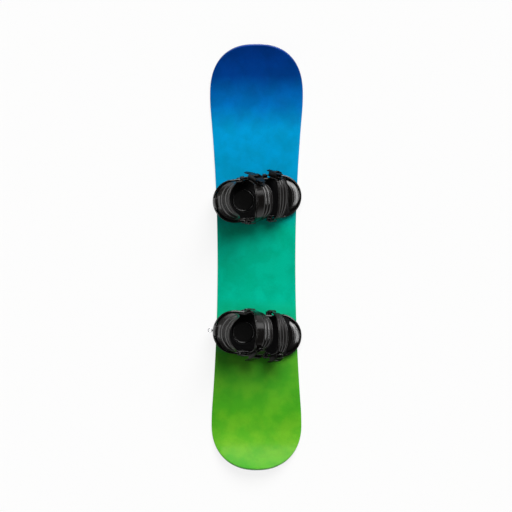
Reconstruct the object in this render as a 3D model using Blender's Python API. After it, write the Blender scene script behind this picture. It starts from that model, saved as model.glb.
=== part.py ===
"""Snowboard with two strap bindings, lying on its flat running base.

Frame: +Z out of the topsheet, +Y towards the nose, +X towards the toe edge. The origin is the
centre of the running base, on the surface that the board lies on. A binding has a frame of its
own: u towards the toe, v across the foot (+v is the outer side, where the buckles are) and
w up from the topsheet. A strap has a third frame at its bolts: p across the band, v as before
and q up along the leaning loop.
"""
import math
from dataclasses import dataclass

import bmesh
import bpy
from mathutils import Vector
from mathutils.geometry import interpolate_bezier

MM = 0.001
SEAT = 0.3 * MM                     # gap between pieces that bear on each other
SMOOTH_ANGLE = math.radians(35.0)   # edges sharper than this stay sharp in shading

# Board outline and side profile
CONTACT_LENGTH = 1071.5 * MM        # flat base between the widest points
NOSE_LENGTH = 162.5 * MM
TAIL_LENGTH = 146.0 * MM
NOSE_WIDTH = 302.0 * MM
TAIL_WIDTH = 292.5 * MM
WAIST_WIDTH = 253.5 * MM
WAIST_OFFSET = -10.0 * MM           # waist centre, from the centre of the running base
HIP_BLEND = 60.0 * MM               # where the sidecut turns into the widest point
NOSE_SQUARENESS = 2.45              # exponent of the tip's superellipse
TAIL_SQUARENESS = 2.25
NOSE_LIFT = 50.0 * MM
TAIL_LIFT = 44.0 * MM
SIDECUT_STEPS = 8                   # stations on each half of the sidecut
HIP_STEPS = 3
TIP_STEPS = 12

# Facets of round shapes
HEEL_STEPS = 20                     # half circle of the heel, in tray and hoop
TOE_STEPS = 18
DISC_FACETS = 24
BOLT_FACETS = 10
BORE_FACETS = 8
RAMP_STEPS = 16
RING_FACETS = 20
RING_WIRE_FACETS = 6

# Board layers
EDGE_HEIGHT = 1.8 * MM
EDGE_WIDTH = 2.2 * MM
CORE_THICKNESS = 6.0 * MM
SIDEWALL_WIDTH = 7.0 * MM
TOPSHEET_THICKNESS = 0.8 * MM
TOPSHEET_INSET = 1.0 * MM           # rim of sidewall that shows round the topsheet

# Where the bindings stand
STANCE_WIDTH = 437.0 * MM
STANCE_SETBACK = -21.0 * MM
STANCE_TOE_SHIFT = 2.5 * MM
FRONT_ANGLE = math.radians(6.5)     # toes turned towards the nose
REAR_ANGLE = math.radians(-5.0)     # toes turned towards the tail

# Baseplate tray, in the binding's frame
HEEL_CENTRE = -74.0 * MM            # centre of the heel's round end
HOOP_RADIUS = 70.0 * MM
HOOP_WALL = 6.0 * MM
TOE_CENTRE = 74.0 * MM
TOE_BULGE = 6.3 * MM                # how much wider the toe's round end is than the sides
WALL_THICKNESS = 5.0 * MM
FLOOR_THICKNESS = 7.3 * MM
WALL_HEIGHT = 42.0 * MM
TOE_RIM_HEIGHT = 18.0 * MM
WALL_SLOPE_START = 46.0 * MM        # where the side walls start to fall towards the toe
WALL_SLOPE_END = 84.0 * MM
WALL_SLOPE_STEPS = 8
TOE_SIDE_STEPS = 6                  # on the toe's arc, beside the footbed
DISC_RADIUS = 48.0 * MM
DISC_FLARE = 2.5 * MM               # how much wider the disc's cone is at its top
SCREW_SPACING = 40.0 * MM
SCREW_RADIUS = 3.0 * MM
SCREW_HEAD_RADIUS = 5.5 * MM
SCREW_HEAD_HEIGHT = 3.0 * MM
SCREW_HEAD_SINK = 1.0 * MM          # how far a head is set into its recess
SCREW_REACH = 6.5 * MM              # thread length below the disc
SCREW_RECESS_RADIUS = 7.0 * MM

# Footbed and toe ramp
FOOTBED_THICKNESS = 7.5 * MM
FOOTBED_CLEARANCE = 0.5 * MM
HEEL_DISH_CENTRE = -46.0 * MM
HEEL_DISH_RADIUS = 38.0 * MM
HEEL_DISH_FLARE = 2.5 * MM
HEEL_DISH_DEPTH = 2.5 * MM
RAMP_START = 100.0 * MM
RAMP_LOW = 14.0 * MM
RAMP_RISE = 10.0 * MM

# Heel hoop
HOOP_BOTTOM = 12.0 * MM
HOOP_BACK_TOP = 78.0 * MM
HOOP_FRONT_TOP = 40.0 * MM
HOOP_ARM_END = 2.0 * MM             # front end of the hoop's arms
HOOP_ARM_LEVEL = 12.0 * MM          # length of the arm in front of the rise
HOOP_RISE_SHARE = 0.55              # share of the arm over which its top edge rises
HOOP_ARM_STEPS = 5

# Highback
HIGHBACK_WALL = 4.4 * MM
HIGHBACK_LEAN = math.radians(11.0)
HIGHBACK_TOP = 250.0 * MM
HIGHBACK_TOP_RADIUS = 52.0 * MM
HIGHBACK_LOW_EDGE = 63.0 * MM
PANEL_HALF_WIDTH = 88.0 * MM        # half the width of the upright panel, along its curve
PANEL_SQUARENESS = 2.4
PANEL_STEPS = 9
PANEL_LAST_GAP = 0.65               # share of a step left out at the panel's foot
PANEL_ROWS = 4
PANEL_SHOULDER = 84.0 * MM          # height where the panel meets its wings
HINGE_U = -52.0 * MM
HINGE_W = 62.0 * MM
WING_RADIUS = 13.0 * MM
WING_STEPS = 4
WING_END_STATIONS = (0.5, 0.82, 0.98)   # as shares of the wing's radius, past its bolt
BLOCK_HALF_WIDTH = 14.0 * MM
BLOCK_HEIGHT = 17.0 * MM
BLOCK_DEPTH = 10.0 * MM
BLOCK_TOP_SHARE = 0.6               # depth of its upper edge, as a share of the lower one
BLOCK_STEPS = 6

# Bolts through the tray's walls
BOLT_RADIUS = 3.8 * MM
BOLT_CLEARANCE = 0.4 * MM
BOLT_HEAD_RADIUS = 7.0 * MM
BOLT_HEAD_HEIGHT = 3.4 * MM
BOLT_HEAD_CHAMFER = 1.4 * MM
NUT_RADIUS = 6.5 * MM
NUT_HEIGHT = 2.2 * MM
HOOP_BOLT_U = -11.0 * MM
HOOP_BOLT_W = 24.0 * MM

# Leash ring on the rear heel hoop
RING_RADIUS = 6.5 * MM
RING_WIRE = 1.1 * MM
LUG_HALF_WIDTH = 1.6 * MM
LUG_REACH = 5.0 * MM
LUG_HALF_HEIGHT = 4.0 * MM
LUG_TIP_SHARE = 0.6                 # height of the lug's tip, as a share of its root
LUG_BORE = 1.8 * MM
LUG_BORE_SHIFT = 0.3 * MM
LUG_V = 2.0 * MM
LUG_W = 32.0 * MM

# What both straps share
STRAP_PLATE = 4.0 * MM              # thickness of a ladder and of a strap root
ROOT_PLATE_STEPS = 12
LADDER_STEPS = 12
LADDER_OVERLAP = math.radians(1.5)  # how far the ladder's band reaches into its plate
KNUCKLE_RADIUS = 5.0 * MM
KNUCKLE_HALF = 7.7 * MM
KNUCKLE_ROOM = 2.0 * MM             # free space round the knuckle, in the fork
EAR_WIDTH = 5.0 * MM
PIN_RADIUS = 2.1 * MM
PIN_CLEARANCE = 0.3 * MM

# Pads of both straps
PAD_THICKNESS = 7.0 * MM
PAD_BUCKLE_STEPS = 5
PAD_CURVE_STEPS = 12
PAD_NECK_STATIONS = (0.35, 0.6, 0.8, 1.0)
PAD_NECK_RUN = 15.0 * MM            # length over which the pad narrows to its knuckle
PAD_NECK_THINNING = 0.25
PAD_KNUCKLE_BITE = 0.6              # share of the knuckle's radius where the pad ends
PAD_SWELL_START = 0.12              # shares of the pad's length
PAD_SWELL_RUN = 0.24
PAD_SWELL_END = 0.86
PAD_SWELL_FALL = 0.26
PAD_CROWN = 0.3                     # share of the half thickness where the chamfer starts
PAD_CHAMFER = 2.2 * MM

# Buckles of both straps
BUCKLE_FLOOR = 2.5 * MM
BUCKLE_STEPS = 6
CHEEK_WIDTH = 3.0 * MM
CHEEK_RISE = math.radians(3.5)      # run over which a cheek rises
CHEEK_DROP = 6.0 * MM               # how much lower it starts
CHEEK_FALL_START = math.radians(2.0)    # behind the lever's pin
CHEEK_FALL = math.radians(6.0)

# Levers: an arm's sizes are shares of its barrel's radius
LEVER_PIN_RADIUS = 1.6 * MM
LEVER_PIN_RISE = 8.5 * MM           # above the ladder
LEVER_BARREL = 4.2 * MM
LEVER_FLARE = 5.0 * MM              # how far the arm's end stands off
RELEASE_PIN_RISE = 5.6 * MM
RELEASE_PIN_INSET = math.radians(2.0)   # from the end of the buckle's floor
RELEASE_BARREL = 3.2 * MM
RELEASE_FLARE = 3.0 * MM
ARM_SINK = 0.18
ARM_THICKNESS = 0.98
ARM_THINNING = 0.24
ARM_TAPER_START = 0.55              # share of the arm's length
ARM_TAPER = 0.16                    # share of the arm's width
ARM_CROWN = 0.86
ARM_STEPS = 6


def remove_scene_objects():
    for thing in list(bpy.data.objects):
        bpy.data.objects.remove(thing, do_unlink=True)


def material(name, colour, roughness, metallic=0.0):
    """A Principled material with one colour, made once and then shared."""
    found = bpy.data.materials.get(name)
    if found:
        return found
    made = bpy.data.materials.new(name)
    made.use_nodes = True
    shader = made.node_tree.nodes["Principled BSDF"]
    shader.inputs["Base Color"].default_value = (*colour, 1.0)
    shader.inputs["Roughness"].default_value = roughness
    shader.inputs["Metallic"].default_value = metallic
    made.diffuse_color = (*colour, 1.0)
    return made


def topsheet_print():
    return material("topsheet_print", (0.0, 0.33, 0.35), 0.3)


def black_nylon():
    return material("black_nylon", (0.012, 0.012, 0.013), 0.35)


def black_pad():
    return material("black_pad", (0.02, 0.02, 0.02), 0.6)


def gloss_black():
    return material("gloss_black", (0.008, 0.008, 0.009), 0.15)


def steel():
    return material("steel", (0.55, 0.56, 0.57), 0.3, 1.0)


def base_plastic():
    return material("base_plastic", (0.02, 0.05, 0.09), 0.35)


def sidewall_plastic():
    return material("sidewall_plastic", (0.05, 0.45, 0.45), 0.4)


def wood():
    return material("wood", (0.62, 0.44, 0.25), 0.6)


class Piece:
    """One sub-part under construction: its object, and the frame that it is placed in."""

    def __init__(self, name, mesh_data, finish, parent=None, origin=(0, 0, 0)):
        mesh = bpy.data.meshes.new(name)
        start = Vector(origin)
        for vertex in mesh_data.verts:
            vertex.co -= start
        bmesh.ops.recalc_face_normals(mesh_data, faces=mesh_data.faces)
        mesh_data.to_mesh(mesh)
        mesh_data.free()
        mesh.shade_smooth()
        mesh.set_sharp_from_angle(angle=SMOOTH_ANGLE)
        mesh.materials.append(finish)
        self.object = bpy.data.objects.new(name, mesh)
        bpy.context.scene.collection.objects.link(self.object)
        self.object.parent = parent
        self.object.location = start
        self.parent = parent
        self.finish = finish

    def combine(self, mesh_data, operation):
        """Adds or cuts a shape that is given in the same frame as this piece."""
        label = f"{self.object.name}_tool_{len(self.object.modifiers)}"
        tool = Piece(label, mesh_data, self.finish, self.parent)
        tool.object.hide_render = True
        tool.object.display_type = "WIRE"
        step = self.object.modifiers.new(operation.lower(), "BOOLEAN")
        step.operation = operation
        step.solver = "EXACT"
        step.object = tool.object
        return self

    def cut(self, mesh_data):
        return self.combine(mesh_data, "DIFFERENCE")

    def add(self, mesh_data):
        return self.combine(mesh_data, "UNION")


def empty(name, parent, location, lean=0.0, turn=0.0):
    made = bpy.data.objects.new(name, None)
    bpy.context.scene.collection.objects.link(made)
    made.parent = parent
    made.location = location
    made.rotation_euler = (0.0, lean, turn)
    return made


def loft(sections, closed=False):
    """Skins a row of sections that have as many points each; an open row gets end caps."""
    mesh_data = bmesh.new()
    rings = [[mesh_data.verts.new(point) for point in section] for section in sections]
    count = len(rings[0])
    pairs = list(zip(rings, rings[1:]))
    if closed:
        pairs.append((rings[-1], rings[0]))
    for here, there in pairs:
        for i in range(count):
            j = (i + 1) % count
            mesh_data.faces.new((here[i], here[j], there[j], there[i]))
    if not closed:
        mesh_data.faces.new(tuple(reversed(rings[0])))
        mesh_data.faces.new(tuple(rings[-1]))
    return mesh_data


def prism(outline, low, high):
    """Extrudes an outline of (u, v) points from w = low to w = high; high may be a function of u."""
    top = high if callable(high) else (lambda u: high)
    return loft([[(u, v, low) for u, v in outline], [(u, v, top(u)) for u, v in outline]])


def slab(outline, near, far):
    """Extrudes an outline of (u, w) points across v, from v = near to v = far."""
    return loft([[(u, near, w) for u, w in outline], [(u, far, w) for u, w in outline]])


def turned(axis, centre, profile, segments=BOLT_FACETS):
    """Rings of (place along the axis, radius) about one of the axes u, v or w through a centre."""
    along = {"u": Vector((1, 0, 0)), "v": Vector((0, 1, 0)), "w": Vector((0, 0, 1))}[axis]
    first = Vector((0, 0, 1)) if axis != "w" else Vector((1, 0, 0))
    second = along.cross(first)
    sections = []
    for place, radius in profile:
        middle = Vector(centre) + along * place
        sections.append([
            middle + (first * math.cos(turn) + second * math.sin(turn)) * radius
            for turn in (2 * math.pi * i / segments for i in range(segments))
        ])
    return loft(sections)


def arc(centre_u, radius, start, end, steps):
    """Points (u, v) on a circle about (centre_u, 0), from one angle to another."""
    return [
        (
            centre_u + radius * math.cos(start + (end - start) * i / steps),
            radius * math.sin(start + (end - start) * i / steps),
        )
        for i in range(steps + 1)
    ]


def smoothstep(x):
    x = min(max(x, 0.0), 1.0)
    return x * x * (3 - 2 * x)


class Board:
    """The board's layers, skinned over stations that run from the tail to the nose."""

    def __init__(self):
        self.half_contact = CONTACT_LENGTH / 2
        self.edge_top = EDGE_HEIGHT
        self.core_bottom = EDGE_HEIGHT + SEAT
        self.core_top = self.core_bottom + CORE_THICKNESS
        self.sheet_bottom = self.core_top + SEAT
        self.top = self.sheet_bottom + TOPSHEET_THICKNESS
        self.stations = self.right_side()

    def sidecut_half(self, widest, reach, steps):
        """Sidecut from the waist to one widest point: two parabolas that share a tangent.

        The first opens away from the waist, and the second closes to a side that runs straight
        along the board where it is widest.
        """
        run = reach - HIP_BLEND
        depth = (widest - WAIST_WIDTH) / 2
        opening = depth / (run * (run + HIP_BLEND))
        closing = opening * run / HIP_BLEND
        points = []
        for i in range(steps + 1):
            along = run * i / steps
            points.append((WAIST_WIDTH / 2 + opening * along * along, along))
        for i in range(1, HIP_STEPS + 1):
            along = run + HIP_BLEND * i / HIP_STEPS
            points.append((widest / 2 - closing * (reach - along) ** 2, along))
        return points

    def tip(self, width, length, squareness):
        """A superellipse from the widest point, which it leaves out, to the tip."""
        points = []
        for i in range(1, TIP_STEPS + 1):
            turn = math.pi / 2 * i / TIP_STEPS
            across = 0.0 if i == TIP_STEPS else math.cos(turn) ** (2 / squareness)
            points.append((width / 2 * across, length * math.sin(turn) ** (2 / squareness)))
        return points

    def right_side(self):
        """Points (x, y) of the right side, from the tail's tip to the nose's tip."""
        half = self.half_contact
        fore = self.sidecut_half(NOSE_WIDTH, half - WAIST_OFFSET, SIDECUT_STEPS)
        aft = self.sidecut_half(TAIL_WIDTH, half + WAIST_OFFSET, SIDECUT_STEPS)
        nose = self.tip(NOSE_WIDTH, NOSE_LENGTH, NOSE_SQUARENESS)
        tail = self.tip(TAIL_WIDTH, TAIL_LENGTH, TAIL_SQUARENESS)
        points = [(x, -half - y) for x, y in reversed(tail)]
        points += [(x, WAIST_OFFSET - y) for x, y in reversed(aft)]
        points += [(x, WAIST_OFFSET + y) for x, y in fore[1:]]
        points += [(x, half + y) for x, y in nose]
        return points

    def inset(self, amount):
        """The right side moved inwards, square to the outline."""
        points = self.stations
        moved = []
        for i, (x, y) in enumerate(points):
            before = points[i - 1] if i else (-points[1][0], points[1][1])
            after = points[i + 1] if i + 1 < len(points) else (-points[-2][0], points[-2][1])
            run = Vector((after[0] - before[0], after[1] - before[1])).normalized()
            moved.append((x - run.y * amount, y + run.x * amount))
        return moved

    def lift(self, y, height):
        """Place (y, z) of a point at a height above the base, with the tips on circular arcs."""
        beyond = abs(y) - self.half_contact
        if beyond <= 0:
            return y, height
        length, rise = (NOSE_LENGTH, NOSE_LIFT) if y > 0 else (TAIL_LENGTH, TAIL_LIFT)
        radius = (length * length + rise * rise) / (2 * rise)
        slope = math.asin(min(beyond / radius, 1.0))
        towards = math.copysign(1.0, y)
        return (
            y - towards * height * math.sin(slope),
            radius * (1 - math.cos(slope)) + height * math.cos(slope),
        )

    def layer(self, amount, low, high):
        """A solid sheet between two heights, whose outline is inset by an amount."""
        mesh_data = bmesh.new()
        columns = []
        for x, y in self.inset(amount):
            column = []
            for height in (low, high):
                place, z = self.lift(y, height)
                if abs(x) < SEAT:
                    point = mesh_data.verts.new((0.0, place, z))
                    column.append((point, point))
                else:
                    left = mesh_data.verts.new((-x, place, z))
                    column.append((left, mesh_data.verts.new((x, place, z))))
            columns.append(column)
        for here, there in zip(columns, columns[1:]):
            corners = [
                (here[1][0], here[1][1], there[1][1], there[1][0]),
                (here[0][0], there[0][0], there[0][1], here[0][1]),
                (here[0][1], there[0][1], there[1][1], here[1][1]),
                (here[0][0], here[1][0], there[1][0], there[0][0]),
            ]
            for face in corners:
                mesh_data.faces.new(tuple(dict.fromkeys(face)))
        return mesh_data

    def rim(self, outer, inner, low, high):
        """A closed ring along the outline, between two insets and two heights."""
        sections = []
        outside, inside = self.inset(outer), self.inset(inner)
        for mirror in (1, -1):
            order = range(len(outside) - 1) if mirror == 1 else range(len(outside) - 1, 0, -1)
            for i in order:
                corners = []
                for (x, y), height in (
                    (outside[i], low), (outside[i], high), (inside[i], high), (inside[i], low),
                ):
                    place, z = self.lift(y, height)
                    corners.append((mirror * x, place, z))
                sections.append(corners)
        return loft(sections, closed=True)

    def build(self, screw_places):
        Piece("base_sheet", self.layer(EDGE_WIDTH + SEAT, 0.0, EDGE_HEIGHT), base_plastic())
        Piece("steel_edge", self.rim(0.0, EDGE_WIDTH, 0.0, EDGE_HEIGHT), steel())
        wall = self.rim(0.0, SIDEWALL_WIDTH, self.core_bottom, self.core_top)
        Piece("sidewall", wall, sidewall_plastic())
        core_inset = SIDEWALL_WIDTH + SEAT
        core = Piece("wood_core", self.layer(core_inset, self.core_bottom, self.core_top), wood())
        sheet = self.layer(TOPSHEET_INSET, self.sheet_bottom, self.top)
        topsheet = Piece("topsheet", sheet, topsheet_print())
        bore = SCREW_RADIUS + SEAT
        for x, y in screw_places:
            for layer in (topsheet, core):
                profile = [(self.top - SCREW_REACH, bore), (self.top + SEAT, bore)]
                layer.cut(turned("w", (x, y, 0), profile, BORE_FACETS))


@dataclass(frozen=True)
class StrapSizes:
    """Sizes of one strap, in its own frame at its two bolts.

    The angles are about the hinge at the strap's root, above the horizontal, and the pad, the
    buckle and the ladder follow circles about it. The pad's join is given from that hinge.
    """

    name: str
    bolt_u: float
    bolt_w: float
    lean: float
    root_radius: float
    hinge_q: float
    ladder_half: float
    ladder_end: float
    pad_start: float
    pad_half: float
    pad_front: float
    pad_rear: float
    pad_handles: tuple
    pad_join: tuple
    buckle_start: float
    buckle_end: float
    pin_angle: float
    lever_length: float
    release_length: float


ANKLE = StrapSizes(
    name="ankle",
    bolt_u=-42.0 * MM,
    bolt_w=28.0 * MM,
    lean=math.radians(31.0),
    root_radius=13.0 * MM,
    hinge_q=30.0 * MM,
    ladder_half=12.0 * MM,
    ladder_end=math.radians(37.0),
    pad_start=math.radians(12.5),
    pad_half=15.0 * MM,
    pad_front=33.0 * MM,
    pad_rear=30.0 * MM,
    pad_handles=(46.0 * MM, 58.0 * MM),
    pad_join=(5.6 * MM, 30.0 * MM),
    buckle_start=math.radians(13.0),
    buckle_end=math.radians(31.0),
    pin_angle=math.radians(20.5),
    lever_length=56.0 * MM,
    release_length=26.0 * MM,
)

TOE = StrapSizes(
    name="toe",
    bolt_u=32.0 * MM,
    bolt_w=22.0 * MM,
    lean=math.radians(40.0),
    root_radius=11.0 * MM,
    hinge_q=15.0 * MM,
    ladder_half=9.5 * MM,
    ladder_end=math.radians(26.0),
    pad_start=math.radians(7.5),
    pad_half=12.5 * MM,
    pad_front=21.0 * MM,
    pad_rear=20.0 * MM,
    pad_handles=(34.0 * MM, 42.0 * MM),
    pad_join=(4.6 * MM, 17.0 * MM),
    buckle_start=math.radians(8.0),
    buckle_end=math.radians(21.5),
    pin_angle=math.radians(14.0),
    lever_length=34.0 * MM,
    release_length=17.0 * MM,
)


class Strap:
    """One closed strap: ladder and root on the bolts, then pad, buckle and levers."""

    def __init__(self, prefix, side, binding_frame, sizes):
        self.prefix = f"{prefix}_{sizes.name}"
        self.side = side
        self.sizes = sizes
        place = (sizes.bolt_u, 0.0, sizes.bolt_w)
        self.frame = empty(f"{self.prefix}_strap_axis", binding_frame, place, lean=sizes.lean)
        self.plate_inner = HOOP_RADIUS + SEAT
        self.plate_outer = self.plate_inner + STRAP_PLATE
        self.hinge_v = -(self.plate_inner + KNUCKLE_RADIUS + SEAT)
        self.ladder_in = self.plate_inner - self.hinge_v
        self.ladder_out = self.plate_outer - self.hinge_v
        self.floor_in = self.ladder_in - SEAT - BUCKLE_FLOOR
        self.pad_out = self.floor_in - SEAT
        self.pin_reach = self.ladder_out + LEVER_PIN_RISE
        self.release_reach = self.ladder_out + RELEASE_PIN_RISE
        self.release_angle = sizes.buckle_end - RELEASE_PIN_INSET

    def at(self, reach, angle, p=0.0):
        """A point at a reach from the root's hinge, at an angle above the horizontal."""
        v = self.hinge_v + reach * math.cos(angle)
        return (p, self.side * v, self.sizes.hinge_q + reach * math.sin(angle))

    def hinge(self):
        return (0.0, self.side * self.hinge_v, self.sizes.hinge_q)

    def arc_band(self, start, end, steps, low, high, half):
        """A band that follows a circle about the root's hinge, between two reaches."""
        sections = []
        for i in range(steps + 1):
            angle = start + (end - start) * i / steps
            sections.append([
                self.at(low, angle, -half), self.at(low, angle, half),
                self.at(high, angle, half), self.at(high, angle, -half),
            ])
        return loft(sections)

    def root_plate(self, near, far, half):
        """The round plate at a bolt with a neck that rises to the hinge's height."""
        sizes = self.sizes
        radius = sizes.root_radius
        outline = [(half, sizes.hinge_q)]
        spread = math.asin(min(half / radius, 1.0))
        for i in range(ROOT_PLATE_STEPS + 1):
            turn = spread + (2 * math.pi - 2 * spread) * i / ROOT_PLATE_STEPS
            outline.append((radius * math.sin(turn), radius * math.cos(turn)))
        outline.append((-half, sizes.hinge_q))
        return slab(outline, self.side * near, self.side * far)

    def bore(self, near, far):
        radius = BOLT_RADIUS + BOLT_CLEARANCE
        low, high = sorted((self.side * near, self.side * far))
        return turned("v", (0, 0, 0), [(low - MM, radius), (high + MM, radius)], BORE_FACETS)

    def build_ladder(self):
        sizes = self.sizes
        plate = self.root_plate(self.plate_inner, self.plate_outer, sizes.ladder_half)
        ladder = Piece(f"{self.prefix}_ladder", plate, black_nylon(), self.frame)
        band = self.arc_band(-LADDER_OVERLAP, sizes.ladder_end, LADDER_STEPS,
                             self.ladder_in, self.ladder_out, sizes.ladder_half)
        ladder.add(band)
        ladder.cut(self.bore(self.plate_inner, self.plate_outer))

    def build_root(self):
        """The strap's other root: a plate on its bolt with two ears and a pin."""
        sizes = self.sizes
        half = KNUCKLE_HALF + SEAT + EAR_WIDTH
        plate = self.root_plate(-self.plate_inner, -self.plate_outer, min(half, sizes.root_radius - MM))
        root = Piece(f"{self.prefix}_strap_root", plate, black_nylon(), self.frame)
        hinge = self.hinge()
        root.add(turned("u", hinge, [(-half, KNUCKLE_RADIUS), (half, KNUCKLE_RADIUS)]))
        gap_half = KNUCKLE_HALF + SEAT
        gap = KNUCKLE_RADIUS + KNUCKLE_ROOM
        low = sizes.hinge_q - KNUCKLE_RADIUS - SEAT
        high = sizes.hinge_q + gap
        near, far = self.side * (self.hinge_v - gap), self.side * (self.hinge_v + gap)
        slot = slab([(-gap_half, low), (gap_half, low), (gap_half, high), (-gap_half, high)], near, far)
        root.cut(slot)
        root.add(turned("u", hinge, [(-half + MM, PIN_RADIUS), (half - MM, PIN_RADIUS)], BORE_FACETS))
        root.cut(self.bore(-self.plate_outer, -self.plate_inner))

    def pad_path(self):
        """Middle line (v, q) of the pad: along the ladder, over the foot and down to the root.

        The first stretch is a circle about the root's hinge. From it a Bezier curve goes over the
        foot, and a second one runs down into the hinge's knuckle.
        """
        sizes = self.sizes
        reach = self.pad_out - PAD_THICKNESS / 2
        start, leave = sizes.pad_start, sizes.buckle_end
        points = []
        for i in range(PAD_BUCKLE_STEPS):
            angle = start + (leave - start) * i / PAD_BUCKLE_STEPS
            points.append((self.hinge_v + reach * math.cos(angle), sizes.hinge_q + reach * math.sin(angle)))
        first = Vector((self.hinge_v + reach * math.cos(leave), sizes.hinge_q + reach * math.sin(leave)))
        heading = Vector((-math.sin(leave), math.cos(leave)))
        join = Vector((self.hinge_v, sizes.hinge_q)) + Vector(sizes.pad_join)
        leaving, arriving = sizes.pad_handles
        over = interpolate_bezier(
            first, first + heading * leaving, join + Vector((0, arriving)), join, PAD_CURVE_STEPS)
        points += [tuple(point)[:2] for point in over]
        knuckle = Vector((self.hinge_v, sizes.hinge_q + KNUCKLE_RADIUS * PAD_KNUCKLE_BITE))
        for share in PAD_NECK_STATIONS:
            points.append(tuple(join.lerp(knuckle, share)))
        return points

    def pad_sections(self):
        """Six-cornered sections along the pad: wide over the foot, narrow at both ends."""
        sizes = self.sizes
        path = [Vector(point) for point in self.pad_path()]
        lengths = [0.0]
        for here, there in zip(path, path[1:]):
            lengths.append(lengths[-1] + (there - here).length)
        total = lengths[-1]
        sections = []
        for i, middle in enumerate(path):
            before, after = path[max(i - 1, 0)], path[min(i + 1, len(path) - 1)]
            run = (after - before).normalized()
            out = Vector((run.y, -run.x))
            share = lengths[i] / total
            swell = smoothstep((share - PAD_SWELL_START) / PAD_SWELL_RUN)
            swell *= smoothstep((PAD_SWELL_END - share) / PAD_SWELL_FALL)
            neck = smoothstep((total - lengths[i] - KNUCKLE_RADIUS) / PAD_NECK_RUN)
            base = KNUCKLE_HALF + (sizes.pad_half - KNUCKLE_HALF) * neck
            front = base + (sizes.pad_front - base) * swell
            rear = base + (sizes.pad_rear - base) * swell
            half = PAD_THICKNESS / 2 * (1 - PAD_NECK_THINNING * (1 - neck))
            crown = half * PAD_CROWN
            corners = [
                (-rear, -half), (front, -half), (front, crown), (front - PAD_CHAMFER, half),
                (-rear + PAD_CHAMFER, half), (-rear, crown),
            ]
            sections.append([
                (p, self.side * (middle.x + out.x * t), middle.y + out.y * t) for p, t in corners
            ])
        return sections

    def build_pad(self):
        hinge = self.hinge()
        pad = Piece(f"{self.prefix}_pad", loft(self.pad_sections()), black_pad(), self.frame, hinge)
        knuckle = turned("u", hinge, [(-KNUCKLE_HALF, KNUCKLE_RADIUS), (KNUCKLE_HALF, KNUCKLE_RADIUS)])
        pad.add(knuckle)
        bore = PIN_RADIUS + PIN_CLEARANCE
        pad.cut(turned("u", hinge, [(-KNUCKLE_HALF - MM, bore), (KNUCKLE_HALF + MM, bore)], BORE_FACETS))

    def build_buckle(self):
        """A channel under the ladder, whose two cheeks carry the pins of both levers."""
        sizes = self.sizes
        start, end = sizes.buckle_start, sizes.buckle_end
        inner = sizes.ladder_half + SEAT
        outer = inner + CHEEK_WIDTH
        floor_out = self.ladder_in - SEAT
        sections = []
        for i in range(BUCKLE_STEPS + 1):
            angle = start + (end - start) * i / BUCKLE_STEPS
            top = self.cheek_top(angle)
            sections.append([
                self.at(self.floor_in, angle, -outer), self.at(self.floor_in, angle, outer),
                self.at(top, angle, outer), self.at(top, angle, inner),
                self.at(floor_out, angle, inner), self.at(floor_out, angle, -inner),
                self.at(top, angle, -inner), self.at(top, angle, -outer),
            ])
        buckle = Piece(f"{self.prefix}_buckle", loft(sections), gloss_black(), self.frame, self.hinge())
        middle = inner + CHEEK_WIDTH / 2
        for reach, angle in ((self.pin_reach, sizes.pin_angle), (self.release_reach, self.release_angle)):
            profile = [(-middle, LEVER_PIN_RADIUS), (middle, LEVER_PIN_RADIUS)]
            buckle.add(turned("u", self.at(reach, angle), profile, BORE_FACETS))

    def cheek_top(self, angle):
        """Reach of a cheek's top edge: it rises over the lever's pin and falls to the release's pin."""
        high = self.pin_reach + LEVER_BARREL
        low = self.release_reach + RELEASE_BARREL
        rise = smoothstep((angle - self.sizes.buckle_start) / CHEEK_RISE)
        fall = smoothstep((angle - self.sizes.pin_angle - CHEEK_FALL_START) / CHEEK_FALL)
        return high - (high - low) * fall - (1 - rise) * CHEEK_DROP

    def lever(self, label, reach, angle, radius, length, heading, flare):
        """A lever on a pin: a barrel and an arm that follows the ladder and flares at its end."""
        half = self.sizes.ladder_half
        centre = self.at(reach, angle)
        barrel = turned("u", centre, [(-half, radius), (half, radius)])
        lever = Piece(f"{self.prefix}_{label}", barrel, gloss_black(), self.frame, centre)
        sections = []
        for i in range(ARM_STEPS + 1):
            share = i / ARM_STEPS
            here = angle + heading * length * share / reach
            low = reach + flare * share * share - ARM_SINK * radius
            high = low + (ARM_THICKNESS - ARM_THINNING * share) * radius
            width = half * (1 - ARM_TAPER * smoothstep((share - ARM_TAPER_START) / (1 - ARM_TAPER_START)))
            crown = width * ARM_CROWN
            sections.append([
                self.at(low, here, -width), self.at(low, here, width),
                self.at(high, here, crown), self.at(high, here, -crown),
            ])
        lever.add(loft(sections))
        bore = LEVER_PIN_RADIUS + PIN_CLEARANCE
        lever.cut(turned("u", centre, [(-half - MM, bore), (half + MM, bore)], BORE_FACETS))

    def build(self):
        sizes = self.sizes
        self.build_ladder()
        self.build_root()
        self.build_pad()
        self.build_buckle()
        self.lever("lever", self.pin_reach, sizes.pin_angle, LEVER_BARREL,
                   sizes.lever_length, -1, LEVER_FLARE)
        self.lever("release", self.release_reach, self.release_angle, RELEASE_BARREL,
                   sizes.release_length, 1, RELEASE_FLARE)


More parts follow.
